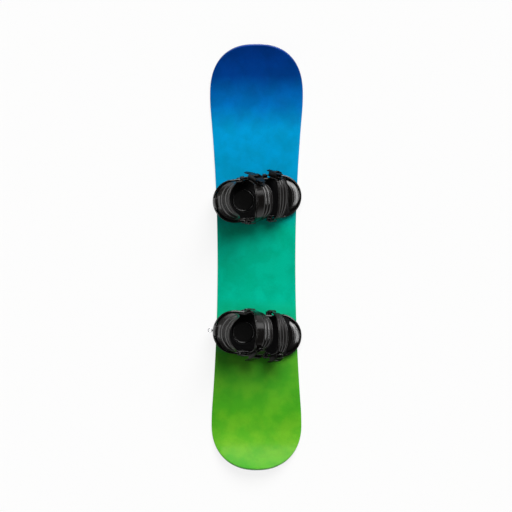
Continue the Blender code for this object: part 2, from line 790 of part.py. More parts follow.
class Binding:
    """One binding: tray, disc, hoop, highback and straps about the binding's own frame."""

    def __init__(self, prefix, side, x, y, floor, turn):
        self.prefix = prefix
        self.side = side
        self.frame = empty(f"{prefix}_binding", None, (x, y, floor + SEAT), turn=turn)
        self.disc_frame = empty(f"{prefix}_disc_frame", None, (x, y, floor + SEAT))
        self.wall_outer = HOOP_RADIUS - HOOP_WALL - SEAT
        self.wall_inner = self.wall_outer - WALL_THICKNESS
        self.toe_radius = self.wall_outer + TOE_BULGE

    def name(self, label):
        return f"{self.prefix}_{label}"

    def foot_outline(self, inset, toe_limit=None):
        """The tray's outline: heel arc, straight sides and toe arc, moved inwards.

        With a toe limit the outline ends in a straight line across the foot there.
        """
        half = self.wall_outer - inset
        toe = self.toe_radius - inset
        flare = math.acos(min(half / toe, 1.0))
        points = arc(HEEL_CENTRE, half, math.pi * 1.5, math.pi * 0.5, HEEL_STEPS)
        if toe_limit is None:
            return points + arc(TOE_CENTRE, toe, math.pi * 0.5 + flare, -math.pi * 0.5 - flare, TOE_STEPS)
        edge = math.asin((toe_limit - TOE_CENTRE) / toe)
        side = arc(TOE_CENTRE, toe, math.pi * 0.5 + flare, math.pi * 0.5 - edge, TOE_SIDE_STEPS)
        return points + side + [(u, -v) for u, v in reversed(side)]

    def build_baseplate(self):
        tray = Piece(self.name("baseplate"), prism(self.foot_outline(0.0), 0.0, WALL_HEIGHT),
                     black_nylon(), self.frame)
        inside = self.foot_outline(WALL_THICKNESS)
        tray.cut(prism(inside, FLOOR_THICKNESS, WALL_HEIGHT + MM))
        reach = TOE_CENTRE + self.toe_radius + MM
        above = WALL_HEIGHT + MM
        fall = []
        for i in range(WALL_SLOPE_STEPS + 1):
            share = i / WALL_SLOPE_STEPS
            u = WALL_SLOPE_START + (WALL_SLOPE_END - WALL_SLOPE_START) * share
            fall.append((u, WALL_HEIGHT - (WALL_HEIGHT - TOE_RIM_HEIGHT) * smoothstep(share)))
        fall[0] = (WALL_SLOPE_START, above)
        outline = fall + [(reach, TOE_RIM_HEIGHT), (reach, above)]
        tray.cut(slab(outline, -self.toe_radius - MM, self.toe_radius + MM))
        tray.cut(turned("w", (0, 0, 0), [
            (-MM, DISC_RADIUS - DISC_FLARE), (FLOOR_THICKNESS + MM, DISC_RADIUS + DISC_FLARE),
        ], DISC_FACETS))
        boss_root = self.wall_inner + MM
        for sign in (-1, 1):
            low, high = sorted((sign * boss_root, sign * HOOP_RADIUS))
            radius = TOE.root_radius - MM
            boss = turned("v", (TOE.bolt_u, 0, TOE.bolt_w), [(low, radius), (high, radius)])
            tray.add(boss)
        for u, w in ((HOOP_BOLT_U, HOOP_BOLT_W), (ANKLE.bolt_u, ANKLE.bolt_w), (TOE.bolt_u, TOE.bolt_w)):
            tray.cut(self.cross_bore(u, w))

    def cross_bore(self, u, w):
        """A bore right across the binding, through both side walls."""
        radius = BOLT_RADIUS + BOLT_CLEARANCE
        reach = HOOP_RADIUS + 2 * MM
        return turned("v", (u, 0, w), [(-reach, radius), (reach, radius)], BORE_FACETS)

    def build_disc(self):
        """The mounting disc, with its four screws joined to it."""
        lower = DISC_RADIUS - DISC_FLARE - 2 * SEAT
        taper = 2 * DISC_FLARE / (FLOOR_THICKNESS + 2 * MM)
        upper = lower + taper * (FLOOR_THICKNESS - SEAT)
        cone = turned("w", (0, 0, 0), [(0.0, lower), (FLOOR_THICKNESS - SEAT, upper)], DISC_FACETS)
        disc = Piece(self.name("disc"), cone, black_nylon(), self.disc_frame)
        top = FLOOR_THICKNESS - SEAT
        seat = top - SCREW_HEAD_HEIGHT - SEAT
        for su in (-0.5, 0.5):
            for sv in (-0.5, 0.5):
                centre = (su * SCREW_SPACING, sv * SCREW_SPACING, 0)
                disc.cut(turned("w", centre, [
                    (seat, SCREW_RECESS_RADIUS), (top + MM, SCREW_RECESS_RADIUS)]))
                disc.add(turned("w", centre, [
                    (-SCREW_REACH + SEAT, SCREW_RADIUS), (seat - SCREW_HEAD_SINK, SCREW_RADIUS),
                    (seat - SCREW_HEAD_SINK, SCREW_HEAD_RADIUS),
                    (seat + SCREW_HEAD_HEIGHT, SCREW_HEAD_RADIUS)], BORE_FACETS))

    def build_footbed(self):
        low = FLOOR_THICKNESS + SEAT
        high = low + FOOTBED_THICKNESS
        inset = WALL_THICKNESS + FOOTBED_CLEARANCE
        outline = self.foot_outline(inset, RAMP_START - FOOTBED_CLEARANCE)
        footbed = Piece(self.name("footbed"), prism(outline, low, high), black_pad(), self.frame)
        footbed.cut(turned("w", (HEEL_DISH_CENTRE, 0, 0), [
            (high - HEEL_DISH_DEPTH, HEEL_DISH_RADIUS - HEEL_DISH_FLARE),
            (high + MM, HEEL_DISH_RADIUS)], DISC_FACETS))

    def build_toe_ramp(self):
        inset = WALL_THICKNESS + FOOTBED_CLEARANCE
        toe = self.toe_radius - inset
        edge = math.acos((RAMP_START - TOE_CENTRE) / toe)
        outline = arc(TOE_CENTRE, toe, edge, -edge, RAMP_STEPS)
        slope = RAMP_RISE / (TOE_CENTRE + toe - RAMP_START)
        ramp = prism(outline, FLOOR_THICKNESS + SEAT, lambda u: RAMP_LOW + (u - RAMP_START) * slope)
        Piece(self.name("toe_ramp"), ramp, gloss_black(), self.frame)

    def hoop_path(self):
        """Places (u, direction outwards, height of the top edge) along the hoop's U."""
        straight = HOOP_ARM_END - HEEL_CENTRE
        rise_start = HOOP_ARM_END - HOOP_ARM_LEVEL
        arms = []
        for sign in (1.0, -1.0):
            arm = []
            for i in range(HOOP_ARM_STEPS + 1):
                u = HOOP_ARM_END - straight * i / HOOP_ARM_STEPS
                rise = smoothstep((rise_start - u) / (straight * HOOP_RISE_SHARE))
                top = HOOP_FRONT_TOP + (HOOP_BACK_TOP - HOOP_FRONT_TOP) * rise
                arm.append((u, (0.0, sign), top))
            arms.append(arm)
        bend = []
        for i in range(1, HEEL_STEPS):
            angle = math.pi * (0.5 + i / HEEL_STEPS)
            bend.append((HEEL_CENTRE, (math.cos(angle), math.sin(angle)), HOOP_BACK_TOP))
        return arms[0] + bend + list(reversed(arms[1]))

    def build_hoop(self):
        sections = []
        inner = HOOP_RADIUS - HOOP_WALL
        for u, out, top in self.hoop_path():
            sections.append([
                (u + out[0] * inner, out[1] * inner, HOOP_BOTTOM),
                (u + out[0] * HOOP_RADIUS, out[1] * HOOP_RADIUS, HOOP_BOTTOM),
                (u + out[0] * HOOP_RADIUS, out[1] * HOOP_RADIUS, top),
                (u + out[0] * inner, out[1] * inner, top),
            ])
        hoop = Piece(self.name("heel_hoop"), loft(sections), gloss_black(), self.frame)
        for u, w in ((HOOP_BOLT_U, HOOP_BOLT_W), (ANKLE.bolt_u, ANKLE.bolt_w), (HINGE_U, HINGE_W)):
            hoop.cut(self.cross_bore(u, w))
        if self.prefix == "rear":
            self.add_leash_lug(hoop)

    def add_leash_lug(self, hoop):
        heel = HEEL_CENTRE - HOOP_RADIUS
        v = self.side * LUG_V
        tip = LUG_HALF_HEIGHT * LUG_TIP_SHARE
        outline = [
            (heel + MM, LUG_W - LUG_HALF_HEIGHT), (heel - LUG_REACH + MM, LUG_W - tip),
            (heel - LUG_REACH, LUG_W), (heel - LUG_REACH + MM, LUG_W + tip),
            (heel + MM, LUG_W + LUG_HALF_HEIGHT),
        ]
        hoop.add(slab(outline, v - LUG_HALF_WIDTH, v + LUG_HALF_WIDTH))
        centre = (heel - LUG_REACH / 2 + LUG_BORE_SHIFT, v, LUG_W)
        reach = LUG_HALF_WIDTH + MM
        hoop.cut(turned("v", centre, [(-reach, LUG_BORE), (reach, LUG_BORE)], BORE_FACETS))
        self.build_leash_ring(centre)

    def build_leash_ring(self, centre):
        """A wire ring that passes through the lug and lies level behind the heel."""
        middle = Vector(centre) - Vector((RING_RADIUS, 0, 0))
        sections = []
        for i in range(RING_FACETS):
            angle = 2 * math.pi * i / RING_FACETS
            out = Vector((math.cos(angle), math.sin(angle), 0))
            sections.append([
                middle + out * (RING_RADIUS + RING_WIRE * math.cos(twist))
                + Vector((0, 0, RING_WIRE * math.sin(twist)))
                for twist in (2 * math.pi * j / RING_WIRE_FACETS for j in range(RING_WIRE_FACETS))
            ])
        Piece(self.name("leash_ring"), loft(sections, closed=True), steel(), self.frame, centre)

    def shell_point(self, s, w, out):
        """A point of the highback: s along its curve, w high and out from its middle surface."""
        rise = max(w - HINGE_W, 0.0)
        middle = self.wall_outer - HIGHBACK_WALL / 2
        share = rise / (HIGHBACK_TOP - HINGE_W)
        radius = middle + (HIGHBACK_TOP_RADIUS - middle) * share
        centre = HEEL_CENTRE + rise * math.tan(HIGHBACK_LEAN)
        quarter = radius * math.pi / 2
        if abs(s) <= quarter:
            turn = s / radius
            return (centre - (radius + out) * math.cos(turn), (radius + out) * math.sin(turn), w)
        return (centre + abs(s) - quarter, math.copysign(radius + out, s), w)

    def highback_columns(self):
        """Columns (s, low edge, high edge) of one half of the highback, from its middle outwards."""
        columns = []
        for i in range(PANEL_STEPS):
            turn = math.pi / 2 * i / (PANEL_STEPS - PANEL_LAST_GAP)
            s = PANEL_HALF_WIDTH * math.sin(turn) ** (2 / PANEL_SQUARENESS) if i else 0.0
            top = PANEL_SHOULDER + (HIGHBACK_TOP - PANEL_SHOULDER) * math.cos(turn) ** (2 / PANEL_SQUARENESS)
            columns.append((s, HIGHBACK_LOW_EDGE, top))
        middle = self.wall_outer - HIGHBACK_WALL / 2
        hinge_s = middle * math.pi / 2 + HINGE_U - HEEL_CENTRE
        wing_low, wing_high = HINGE_W - WING_RADIUS, HINGE_W + WING_RADIUS
        first = columns[-1][0]
        for i in range(1, WING_STEPS + 1):
            share = i / WING_STEPS
            s = first + (hinge_s - first) * share
            fall = smoothstep(share)
            low = HIGHBACK_LOW_EDGE + (wing_low - HIGHBACK_LOW_EDGE) * fall
            high = PANEL_SHOULDER + (wing_high - PANEL_SHOULDER) * fall
            columns.append((s, low, high))
        for share in WING_END_STATIONS:
            reach = WING_RADIUS * math.sqrt(1 - share * share)
            columns.append((hinge_s + WING_RADIUS * share, HINGE_W - reach, HINGE_W + reach))
        return columns

    def build_highback(self):
        half = self.highback_columns()
        columns = [(-s, low, high) for s, low, high in reversed(half[1:])] + half
        thick = HIGHBACK_WALL / 2
        sections = []
        for s, low, high in columns:
            heights = [low + (high - low) * j / PANEL_ROWS for j in range(PANEL_ROWS + 1)]
            outside = [self.shell_point(s, w, thick) for w in heights]
            inside = [self.shell_point(s, w, -thick) for w in reversed(heights)]
            sections.append(outside + inside)
        pivot = (HINGE_U, 0.0, HINGE_W)
        highback = Piece(self.name("highback"), loft(sections), gloss_black(), self.frame, pivot)
        highback.cut(self.cross_bore(HINGE_U, HINGE_W))

    def build_lean_block(self):
        """The forward-lean block: it slides on the highback's back and bears on the hoop."""
        low = HOOP_BACK_TOP + SEAT
        near = HIGHBACK_WALL / 2 + SEAT
        sections = []
        for i in range(BLOCK_STEPS + 1):
            s = BLOCK_HALF_WIDTH * (2 * i / BLOCK_STEPS - 1)
            sections.append([
                self.shell_point(s, low, near), self.shell_point(s, low + BLOCK_HEIGHT, near),
                self.shell_point(s, low + BLOCK_HEIGHT, near + BLOCK_DEPTH * BLOCK_TOP_SHARE),
                self.shell_point(s, low, near + BLOCK_DEPTH),
            ])
        origin = self.shell_point(0.0, low, near)
        Piece(self.name("lean_block"), loft(sections), black_nylon(), self.frame, origin)

    def bolt(self, label, sign, u, w, inner, outer):
        """A bolt across one side wall, with its head outside and a flat nut inside."""
        across = self.side * sign
        head = outer + SEAT
        nut = inner - SEAT
        profile = [
            (nut - NUT_HEIGHT, NUT_RADIUS), (nut, NUT_RADIUS), (nut, BOLT_RADIUS),
            (head, BOLT_RADIUS), (head, BOLT_HEAD_RADIUS),
            (head + BOLT_HEAD_HEIGHT, BOLT_HEAD_RADIUS - BOLT_HEAD_CHAMFER),
        ]
        mesh_data = turned("v", (0, 0, 0), [(across * place, radius) for place, radius in profile])
        for vertex in mesh_data.verts:
            vertex.co += Vector((u, 0, w))
        Piece(self.name(label), mesh_data, steel(), self.frame, (u, 0, w))

    def build_bolts(self):
        plate_outer = HOOP_RADIUS + SEAT + STRAP_PLATE
        middle = self.wall_outer - HIGHBACK_WALL / 2
        taper = (middle - HIGHBACK_TOP_RADIUS) * NUT_RADIUS / (HIGHBACK_TOP - HINGE_W)
        for sign, label in ((1, "outer"), (-1, "inner")):
            self.bolt(f"hoop_bolt_{label}", sign, HOOP_BOLT_U, HOOP_BOLT_W, self.wall_inner, HOOP_RADIUS)
            self.bolt(f"highback_bolt_{label}", sign, HINGE_U, HINGE_W,
                      self.wall_outer - HIGHBACK_WALL - taper, HOOP_RADIUS)
            self.bolt(f"ankle_bolt_{label}", sign, ANKLE.bolt_u, ANKLE.bolt_w,
                      self.wall_inner, plate_outer)
            self.bolt(f"toe_bolt_{label}", sign, TOE.bolt_u, TOE.bolt_w, self.wall_inner, plate_outer)

    def build(self):
        self.build_baseplate()
        self.build_disc()
        self.build_footbed()
        self.build_toe_ramp()
        self.build_hoop()
        self.build_highback()
        self.build_lean_block()
        self.build_bolts()
        for sizes in (ANKLE, TOE):
            Strap(self.prefix, self.side, self.frame, sizes).build()


def main():
    remove_scene_objects()
    board = Board()
    stances = {
        "front": (1, STANCE_SETBACK + STANCE_WIDTH / 2, FRONT_ANGLE),
        "rear": (-1, STANCE_SETBACK - STANCE_WIDTH / 2, REAR_ANGLE),
    }
    screws = [
        (STANCE_TOE_SHIFT + dx * SCREW_SPACING, y + dy * SCREW_SPACING)
        for _, y, _ in stances.values() for dx in (-0.5, 0.5) for dy in (-0.5, 0.5)
    ]
    board.build(screws)
    for prefix, (side, y, turn) in stances.items():
        Binding(prefix, side, STANCE_TOE_SHIFT, y, board.top, turn).build()
    bpy.context.view_layer.update()


main()
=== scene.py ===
"""Looks of a snowboard with two strap bindings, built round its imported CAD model.

World frame, in metres: +Z out of the topsheet, +Y towards the nose, +X towards the toe edge, and
the origin on the running base. A binding has a frame of its own: u towards the toe, v across the
foot and w up from the topsheet. A strap has a third one at its bolts: p across its band, v as
before and q up along the leaning loop.
"""
import logging
import math
from dataclasses import dataclass
from enum import Enum
from typing import Optional, Sequence

import bmesh
import bpy
import numpy as np
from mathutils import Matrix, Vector

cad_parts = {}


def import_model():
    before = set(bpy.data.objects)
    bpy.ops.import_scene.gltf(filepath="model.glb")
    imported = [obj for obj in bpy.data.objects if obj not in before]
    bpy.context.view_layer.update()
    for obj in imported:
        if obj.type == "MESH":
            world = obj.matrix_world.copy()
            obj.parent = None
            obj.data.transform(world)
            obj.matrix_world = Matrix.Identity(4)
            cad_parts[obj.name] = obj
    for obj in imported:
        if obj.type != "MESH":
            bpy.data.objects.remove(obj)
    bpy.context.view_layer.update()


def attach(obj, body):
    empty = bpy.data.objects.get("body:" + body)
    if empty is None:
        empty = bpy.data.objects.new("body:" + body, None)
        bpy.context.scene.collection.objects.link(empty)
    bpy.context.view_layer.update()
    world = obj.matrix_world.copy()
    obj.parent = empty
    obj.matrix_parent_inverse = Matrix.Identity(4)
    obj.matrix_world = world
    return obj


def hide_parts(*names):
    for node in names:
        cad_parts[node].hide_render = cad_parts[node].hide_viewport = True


LOG = logging.getLogger("snowboard")
MM = 0.001
DEG = math.pi / 180
UP = (0.0, 0.0, 1.0)
ACROSS = (0.0, 1.0, 0.0)  # the foot's width, in a binding's own frame
Array = np.ndarray
Pair = tuple[float, float]
Triple = tuple[float, float, float]
Piece = bpy.types.Object
Tree = bpy.types.NodeTree
Node = bpy.types.Node
Socket = bpy.types.NodeSocket


# Surfaces


STRAIGHT = -0.999        # cosine past which a corner counts as straight
SIDE_SHARE = 0.48        # how much of a side one corner's arc may take
SAME_PLACE = 0.002 * MM  # points closer than this are one
SAME_CORNER = 0.01 * MM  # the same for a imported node's corners
LEVEL_FACES = 1.0 * DEG  # faces that differ by less are one
BEVEL_FROM = 32.0 * DEG  # edges that turn by more get a bevel


class Ends(Enum):
    """How a surface is closed along its first parameter."""

    CAPPED = "a flat face over each end"
    JOINED = "the last row joins the first"
    OPEN = "left as it is"


def smoothstep(x: Array) -> Array:
    """Cubic ease from 0 to 1: x squared times (3 - 2x), held level outside."""
    x = np.clip(x, 0.0, 1.0)
    return x * x * (3.0 - 2.0 * x)


def bump(x: Array) -> Array:
    """A smooth rise and fall from 0 over 1 to 0 while x goes from -1 over 0 to 1."""
    return smoothstep(1.0 - np.abs(x))


def full_turn(steps: int) -> Array:
    """Even angles round a full turn, the end left out."""
    return np.linspace(0.0, 2 * math.pi, steps, endpoint=False)


def on_circle(turn: Array) -> Array:
    """(cosine, sine) of each angle, as a last axis."""
    return np.stack([np.cos(turn), np.sin(turn)], -1)


def rounded(corners: Array, radii: Array, steps: int = 4) -> Array:
    """Rounds the corners of closed polygons, all at once.

    The tangent points lie at radius / tan(half the corner's angle) from the corner, the centre
    at radius / sin(half the angle) on its bisector, and the arc runs between the two. A corner
    that is all but straight keeps its place.

    Args:
        corners: (..., k, 2) polygons, in order.
        radii: (k,) a radius for each corner, cut to less than half the shorter side there.
        steps: intervals on each arc.

    Returns:
        (..., k * (steps + 1), 2) points, in the same order.
    """
    before = np.roll(corners, 1, axis=-2) - corners
    after = np.roll(corners, -1, axis=-2) - corners
    reach_before = np.linalg.norm(before, axis=-1, keepdims=True)
    reach_after = np.linalg.norm(after, axis=-1, keepdims=True)
    before, after = before / reach_before, after / reach_after
    cosine = np.clip((before * after).sum(-1, keepdims=True), -0.9999, 0.9999)
    half = np.arccos(cosine) / 2
    room = np.minimum(reach_before, reach_after) * SIDE_SHARE * np.tan(half)
    radius = np.minimum(np.asarray(radii, float)[:, None], room)
    radius = np.where(cosine < STRAIGHT, 0.0, radius)
    middle = before + after
    middle /= np.maximum(np.linalg.norm(middle, axis=-1, keepdims=True), 1e-9)
    centre = corners + middle * radius / np.sin(half)
    start = corners + before * radius / np.tan(half) - centre
    stop = corners + after * radius / np.tan(half) - centre
    first = np.arctan2(start[..., 1], start[..., 0])
    sweep = np.arctan2(stop[..., 1], stop[..., 0]) - first
    sweep = (sweep + math.pi) % (2 * math.pi) - math.pi
    turn = first[..., None] + sweep[..., None] * np.linspace(0.0, 1.0, steps + 1)
    arcs = centre[..., None, :] + radius[..., None] * on_circle(turn)
    return arcs.reshape(*corners.shape[:-2], -1, 2)


def mirrored(right: Array) -> Array:
    """Closes the right half of a section, (..., k, 2) from the bottom up, by its mirror image."""
    return np.roll(np.concatenate([right, right[..., ::-1, :] * (-1, 1)], -2), 1, axis=-2)


def linked(piece: Piece) -> Piece:
    """Links a new object to the scene and hands it back."""
    bpy.context.scene.collection.objects.link(piece)
    return piece


def grid_faces(rows: int, columns: int, join_rows: bool, join_columns: bool
               ) -> tuple[Array, Array, Array]:
    """Corner numbers of the quads on a grid.

    Args:
        rows: places along the first parameter.
        columns: places along the second one.
        join_rows: whether the last row joins the first.
        join_columns: whether the last column joins the first.

    Returns:
        (f, 4) corner numbers, then for each corner its row and column, counted past the joins.
    """
    i, j = np.meshgrid(np.arange(rows if join_rows else rows - 1),
                       np.arange(columns if join_columns else columns - 1), indexing="ij")
    row = np.stack([i, i + 1, i + 1, i], -1).reshape(-1, 4)
    column = np.stack([j, j, j + 1, j + 1], -1).reshape(-1, 4)
    return (row % rows) * columns + column % columns, row, column


def add_mesh(name: str, points: Array, faces: list, uv: Optional[Array] = None, sharp: float = 40.0
             ) -> Piece:
    """Makes an object at the origin from points and faces, with seams and poles merged.

    Args:
        name: the piece's name.
        points: (n, 3) places in the world frame.
        faces: lists of corner numbers.
        uv: (number of face corners, 2) surface lengths in metres, if a pattern follows them.
        sharp: edges with a larger angle than this, in degrees, stay sharp.

    Returns:
        The linked object, with its faces pointing outwards.
    """
    mesh = bpy.data.meshes.new(name)
    mesh.from_pydata(points.tolist(), [], faces)
    if uv is not None:
        layer = mesh.uv_layers.new(name="Surface")
        layer.data.foreach_set("uv", np.ascontiguousarray(uv, dtype=np.float32).ravel())
    work = bmesh.new()
    work.from_mesh(mesh)
    bmesh.ops.remove_doubles(work, verts=work.verts, dist=SAME_PLACE)
    bmesh.ops.dissolve_degenerate(work, edges=work.edges, dist=SAME_PLACE)
    bmesh.ops.recalc_face_normals(work, faces=work.faces)
    if work.calc_volume(signed=True) < 0.0:
        bmesh.ops.reverse_faces(work, faces=work.faces)
    work.to_mesh(mesh)
    work.free()
    mesh.shade_smooth()
    mesh.set_sharp_from_angle(angle=math.radians(sharp))
    return linked(bpy.data.objects.new(name, mesh))


def surface(name: str, grid: Array, ends: Ends = Ends.CAPPED, sharp: float = 40.0,
            poles: bool = False) -> Piece:
    """Puts a grid of points into a closed mesh, with surface lengths as its UV map.

    U is the mean length along the first parameter and V the length round the middle row.

    Args:
        name: the piece's name.
        grid: (rows, columns, 3) places in the world frame.
        ends: how the first parameter is closed.
        sharp: edges with a larger angle than this, in degrees, stay sharp.
        poles: true where the first and the last column are each drawn together, into a point or
            a line, and otherwise the columns run right round.

    Returns:
        The linked object.
    """
    rows, columns = grid.shape[:2]
    faces, row, column = grid_faces(rows, columns, ends is Ends.JOINED, not poles)
    along = np.linalg.norm(np.roll(grid, -1, 0) - grid, axis=-1).mean(1)
    around = np.linalg.norm(np.roll(grid, -1, 1) - grid, axis=-1)[rows // 2]
    u = np.concatenate([[0.0], np.cumsum(along)])[row]
    v = np.concatenate([[0.0], np.cumsum(around)])[column]
    uv = np.stack([u, v], -1).reshape(-1, 2)
    lists = faces.tolist()
    if ends is Ends.CAPPED:
        first = np.arange(columns)
        lists += [first[::-1].tolist(), (first + (rows - 1) * columns).tolist()]
        uv = np.concatenate([uv, np.zeros((2 * columns, 2))])
    return add_mesh(name, grid.reshape(-1, 3), lists, uv, sharp)


def swept(path: Array, side: Array, up: Array, profile: Array) -> Array:
    """Carries a profile along a path: place = path + across * side + high * up.

    Args:
        path: (n, 3) middle line.
        side: (n, 3) or (3,) direction of the profile's first coordinate.
        up: (n, 3) or (3,) direction of its second coordinate.
        profile: (m, 2), or (n, m, 2) where it changes along the path.

    Returns:
        (n, m, 3) grid.
    """
    side = np.broadcast_to(side, path.shape)[:, None, :]
    up = np.broadcast_to(up, path.shape)[:, None, :]
    return path[:, None, :] + profile[..., 0:1] * side + profile[..., 1:2] * up


def turned(centre: Triple, axis: Triple, rings: Array, segments: int = 32,
           flats: Optional[Array] = None) -> Array:
    """Turns rings of (place along the axis, radius) about an axis.

    A ring with flats is a hexagon, and its radius is measured to the flats: a point's radius is
    that divided by the cosine of its angle from the middle of the nearest flat.

    Args:
        centre: where the axis starts.
        axis: its direction.
        rings: (n, 2) places and radii.
        segments: points on a ring, a multiple of six.
        flats: (n,) true for the rings that are hexagons.

    Returns:
        (n, segments, 3) grid.
    """
    along = np.array(axis, float)
    along /= np.linalg.norm(along)
    helper = np.array(UP) if abs(along[2]) < 0.9 else np.array([1.0, 0.0, 0.0])
    first = np.cross(helper, along)
    first /= np.linalg.norm(first)
    second = np.cross(along, first)
    turn = full_turn(segments)
    radius = np.repeat(rings[:, 1:2], segments, axis=1)
    if flats is not None:
        from_flat = (turn + math.pi / 6) % (math.pi / 3) - math.pi / 6
        radius = np.where(np.asarray(flats)[:, None], radius / np.cos(from_flat), radius)
    round_part = np.cos(turn)[:, None] * first + np.sin(turn)[:, None] * second
    return np.array(centre) + rings[:, :1, None] * along + radius[..., None] * round_part


def bezier(first: Array, handle_a: Array, handle_b: Array, last: Array, steps: int) -> Array:
    """Points on a cubic Bezier curve, at even steps of its parameter.

    Args:
        first: where it starts.
        handle_a: the point that it starts towards.
        handle_b: the point that it arrives from.
        last: where it ends.
        steps: how many points, both ends included.

    Returns:
        (steps, k) points.
    """
    t = np.linspace(0.0, 1.0, steps)[:, None]
    return ((1 - t) ** 3 * first + 3 * (1 - t) ** 2 * t * handle_a
            + 3 * (1 - t) * t * t * handle_b + t ** 3 * last)


def softened_copy(node: str, name: str, width: float) -> Piece:
    """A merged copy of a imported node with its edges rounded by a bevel.

    Args:
        node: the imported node's name; its own mesh isn't changed.
        name: the piece's name.
        width: width of the bevel.

    Returns:
        The linked object.
    """
    mesh = bpy.data.objects[node].data.copy()
    mesh.name = name
    mesh.materials.clear()
    work = bmesh.new()
    work.from_mesh(mesh)
    bmesh.ops.remove_doubles(work, verts=work.verts, dist=SAME_CORNER)
    bmesh.ops.dissolve_limit(work, angle_limit=LEVEL_FACES, verts=work.verts, edges=work.edges)
    work.to_mesh(mesh)
    work.free()
    mesh.shade_smooth()
    piece = linked(bpy.data.objects.new(name, mesh))
    bevel = piece.modifiers.new("soft edges", "BEVEL")
    bevel.width = width
    bevel.segments = 2
    bevel.limit_method = "ANGLE"
    bevel.angle_limit = BEVEL_FROM
    bevel.use_clamp_overlap = True
    bevel.harden_normals = True
    return piece


# Finishes


NOISE_LOW, NOISE_HIGH = 0.3, 0.7  # what most values of a noise lie between
PATCH = 35.0                      # millimetres over which handling changes the gloss


def hex_colour(code: str) -> tuple[float, float, float, float]:
    """Turns an sRGB hex value to linear: c / 12.92 up to 0.04045, else ((c + 0.055) / 1.055) ^ 2.4.

    Args:
        code: six hex digits.

    Returns:
        Linear red, green and blue, and an alpha of 1.
    """
    parts = np.array([int(code[i:i + 2], 16) for i in (0, 2, 4)]) / 255.0
    linear = np.where(parts <= 0.04045, parts / 12.92, ((parts + 0.055) / 1.055) ** 2.4)
    return (*linear.tolist(), 1.0)


def shaded(code: str, share: float) -> tuple[float, float, float, float]:
    """The colour of a hex value with its linear channels times a share."""
    return (*(channel * share for channel in hex_colour(code)[:3]), 1.0)


def add_node(tree: Tree, kind: str, inputs: Optional[dict] = None,
             stops: Sequence[tuple[float, tuple]] = (), **settings: object) -> Node:
    """Adds a node with its settings and links.

    Args:
        tree: the node tree of a material or of the world.
        kind: the node's type name after "ShaderNode".
        inputs: for each socket, by name or number, a node whose first output is linked to it,
            another output socket to link, or a plain value.
        stops: (place, colour) of each stop of a colour ramp.
        settings: attributes of the node.

    Returns:
        The new node.
    """
    node = tree.nodes.new("ShaderNode" + kind)
    for key, value in settings.items():
        setattr(node, key, value)
    for key, value in (inputs or {}).items():
        source = value.outputs[0] if isinstance(value, Node) else value
        if isinstance(source, Socket):
            tree.links.new(source, node.inputs[key])
        else:
            node.inputs[key].default_value = source
    for number, (place, colour) in enumerate(stops):
        elements = node.color_ramp.elements
        element = elements[number] if number < 2 else elements.new(place)
        element.position, element.color = place, colour
    return node


class Coordinates(Enum):
    """What a pattern is laid on."""

    OBJECT = "Object"
    SURFACE = "UV"


@dataclass(frozen=True)
class Finish:
    """A moulded or machined surface: one colour, and a fine grain in its relief.

    Grain is drawn as noise whose cell is the given size. The real grain of a mould or a stone is
    a tenth of that, too fine to show. A larger noise varies the colour by its tone, and rub is
    a third one that changes the roughness, as handling does.
    """

    name: str
    slot: str
    colour: str
    roughness: float
    grain: float   # size of a grain, in millimetres
    relief: float  # its depth, in millimetres

    metallic: float = 0.0
    specular: float = 0.5
    sheen: float = 0.0
    rub: float = 0.06    # change of the roughness over hand-sized patches
    tone: float = 0.12   # share by which the colour varies
    mottle: float = 9.0  # grains across a patch of one tone
    lays_on: Coordinates = Coordinates.OBJECT

    def pattern(self, tree: Tree, place: Socket) -> tuple[Node, Node]:
        """The colour and the height of the surface.

        Args:
            tree: the node tree.
            place: coordinates in metres.

        Returns:
            The nodes of its colour and its height.
        """
        patch = self.grain * self.mottle * MM
        patches = add_node(tree, "TexNoise", {"Vector": place, "Scale": 1 / patch, "Detail": 3.0})
        colour = add_node(tree, "ValToRGB", {"Fac": patches}, [
            (NOISE_LOW, shaded(self.colour, 1.0 - self.tone)),
            (NOISE_HIGH, shaded(self.colour, 1.0 + self.tone))])
        return colour, add_node(tree, "TexNoise", {"Vector": place, "Scale": 1 / (self.grain * MM)})

    def make(self) -> bpy.types.Material:
        """Makes the material once, and finds it again later.

        Its roughness drifts by the rub from patch to patch.

        Returns:
            The material.
        """
        found = bpy.data.materials.get(self.name)
        if found:
            return found
        material = bpy.data.materials.new(self.name)
        material.use_nodes = True
        tree = material.node_tree
        tree.nodes.clear()
        place = add_node(tree, "TexCoord").outputs[self.lays_on.value]
        colour, height = self.pattern(tree, place)
        normal = add_node(tree, "Bump", {"Height": height, "Distance": self.relief * MM})
        patches = add_node(tree, "TexNoise", {"Vector": place, "Scale": 1 / (PATCH * MM), "Detail": 4.0})
        gloss = add_node(tree, "MapRange", {
            "Value": patches, "From Min": NOISE_LOW, "From Max": NOISE_HIGH,
            "To Min": max(self.roughness - self.rub, 0.02), "To Max": self.roughness + self.rub})
        shader = add_node(tree, "BsdfPrincipled", {
            "Base Color": colour, "Roughness": gloss, "Normal": normal,
            "Metallic": self.metallic, "Specular IOR Level": self.specular,
            "Sheen Weight": self.sheen, "Sheen Roughness": 0.4})
        add_node(tree, "OutputMaterial", {"Surface": shader})
        material.diffuse_color = hex_colour(self.colour)
        return material


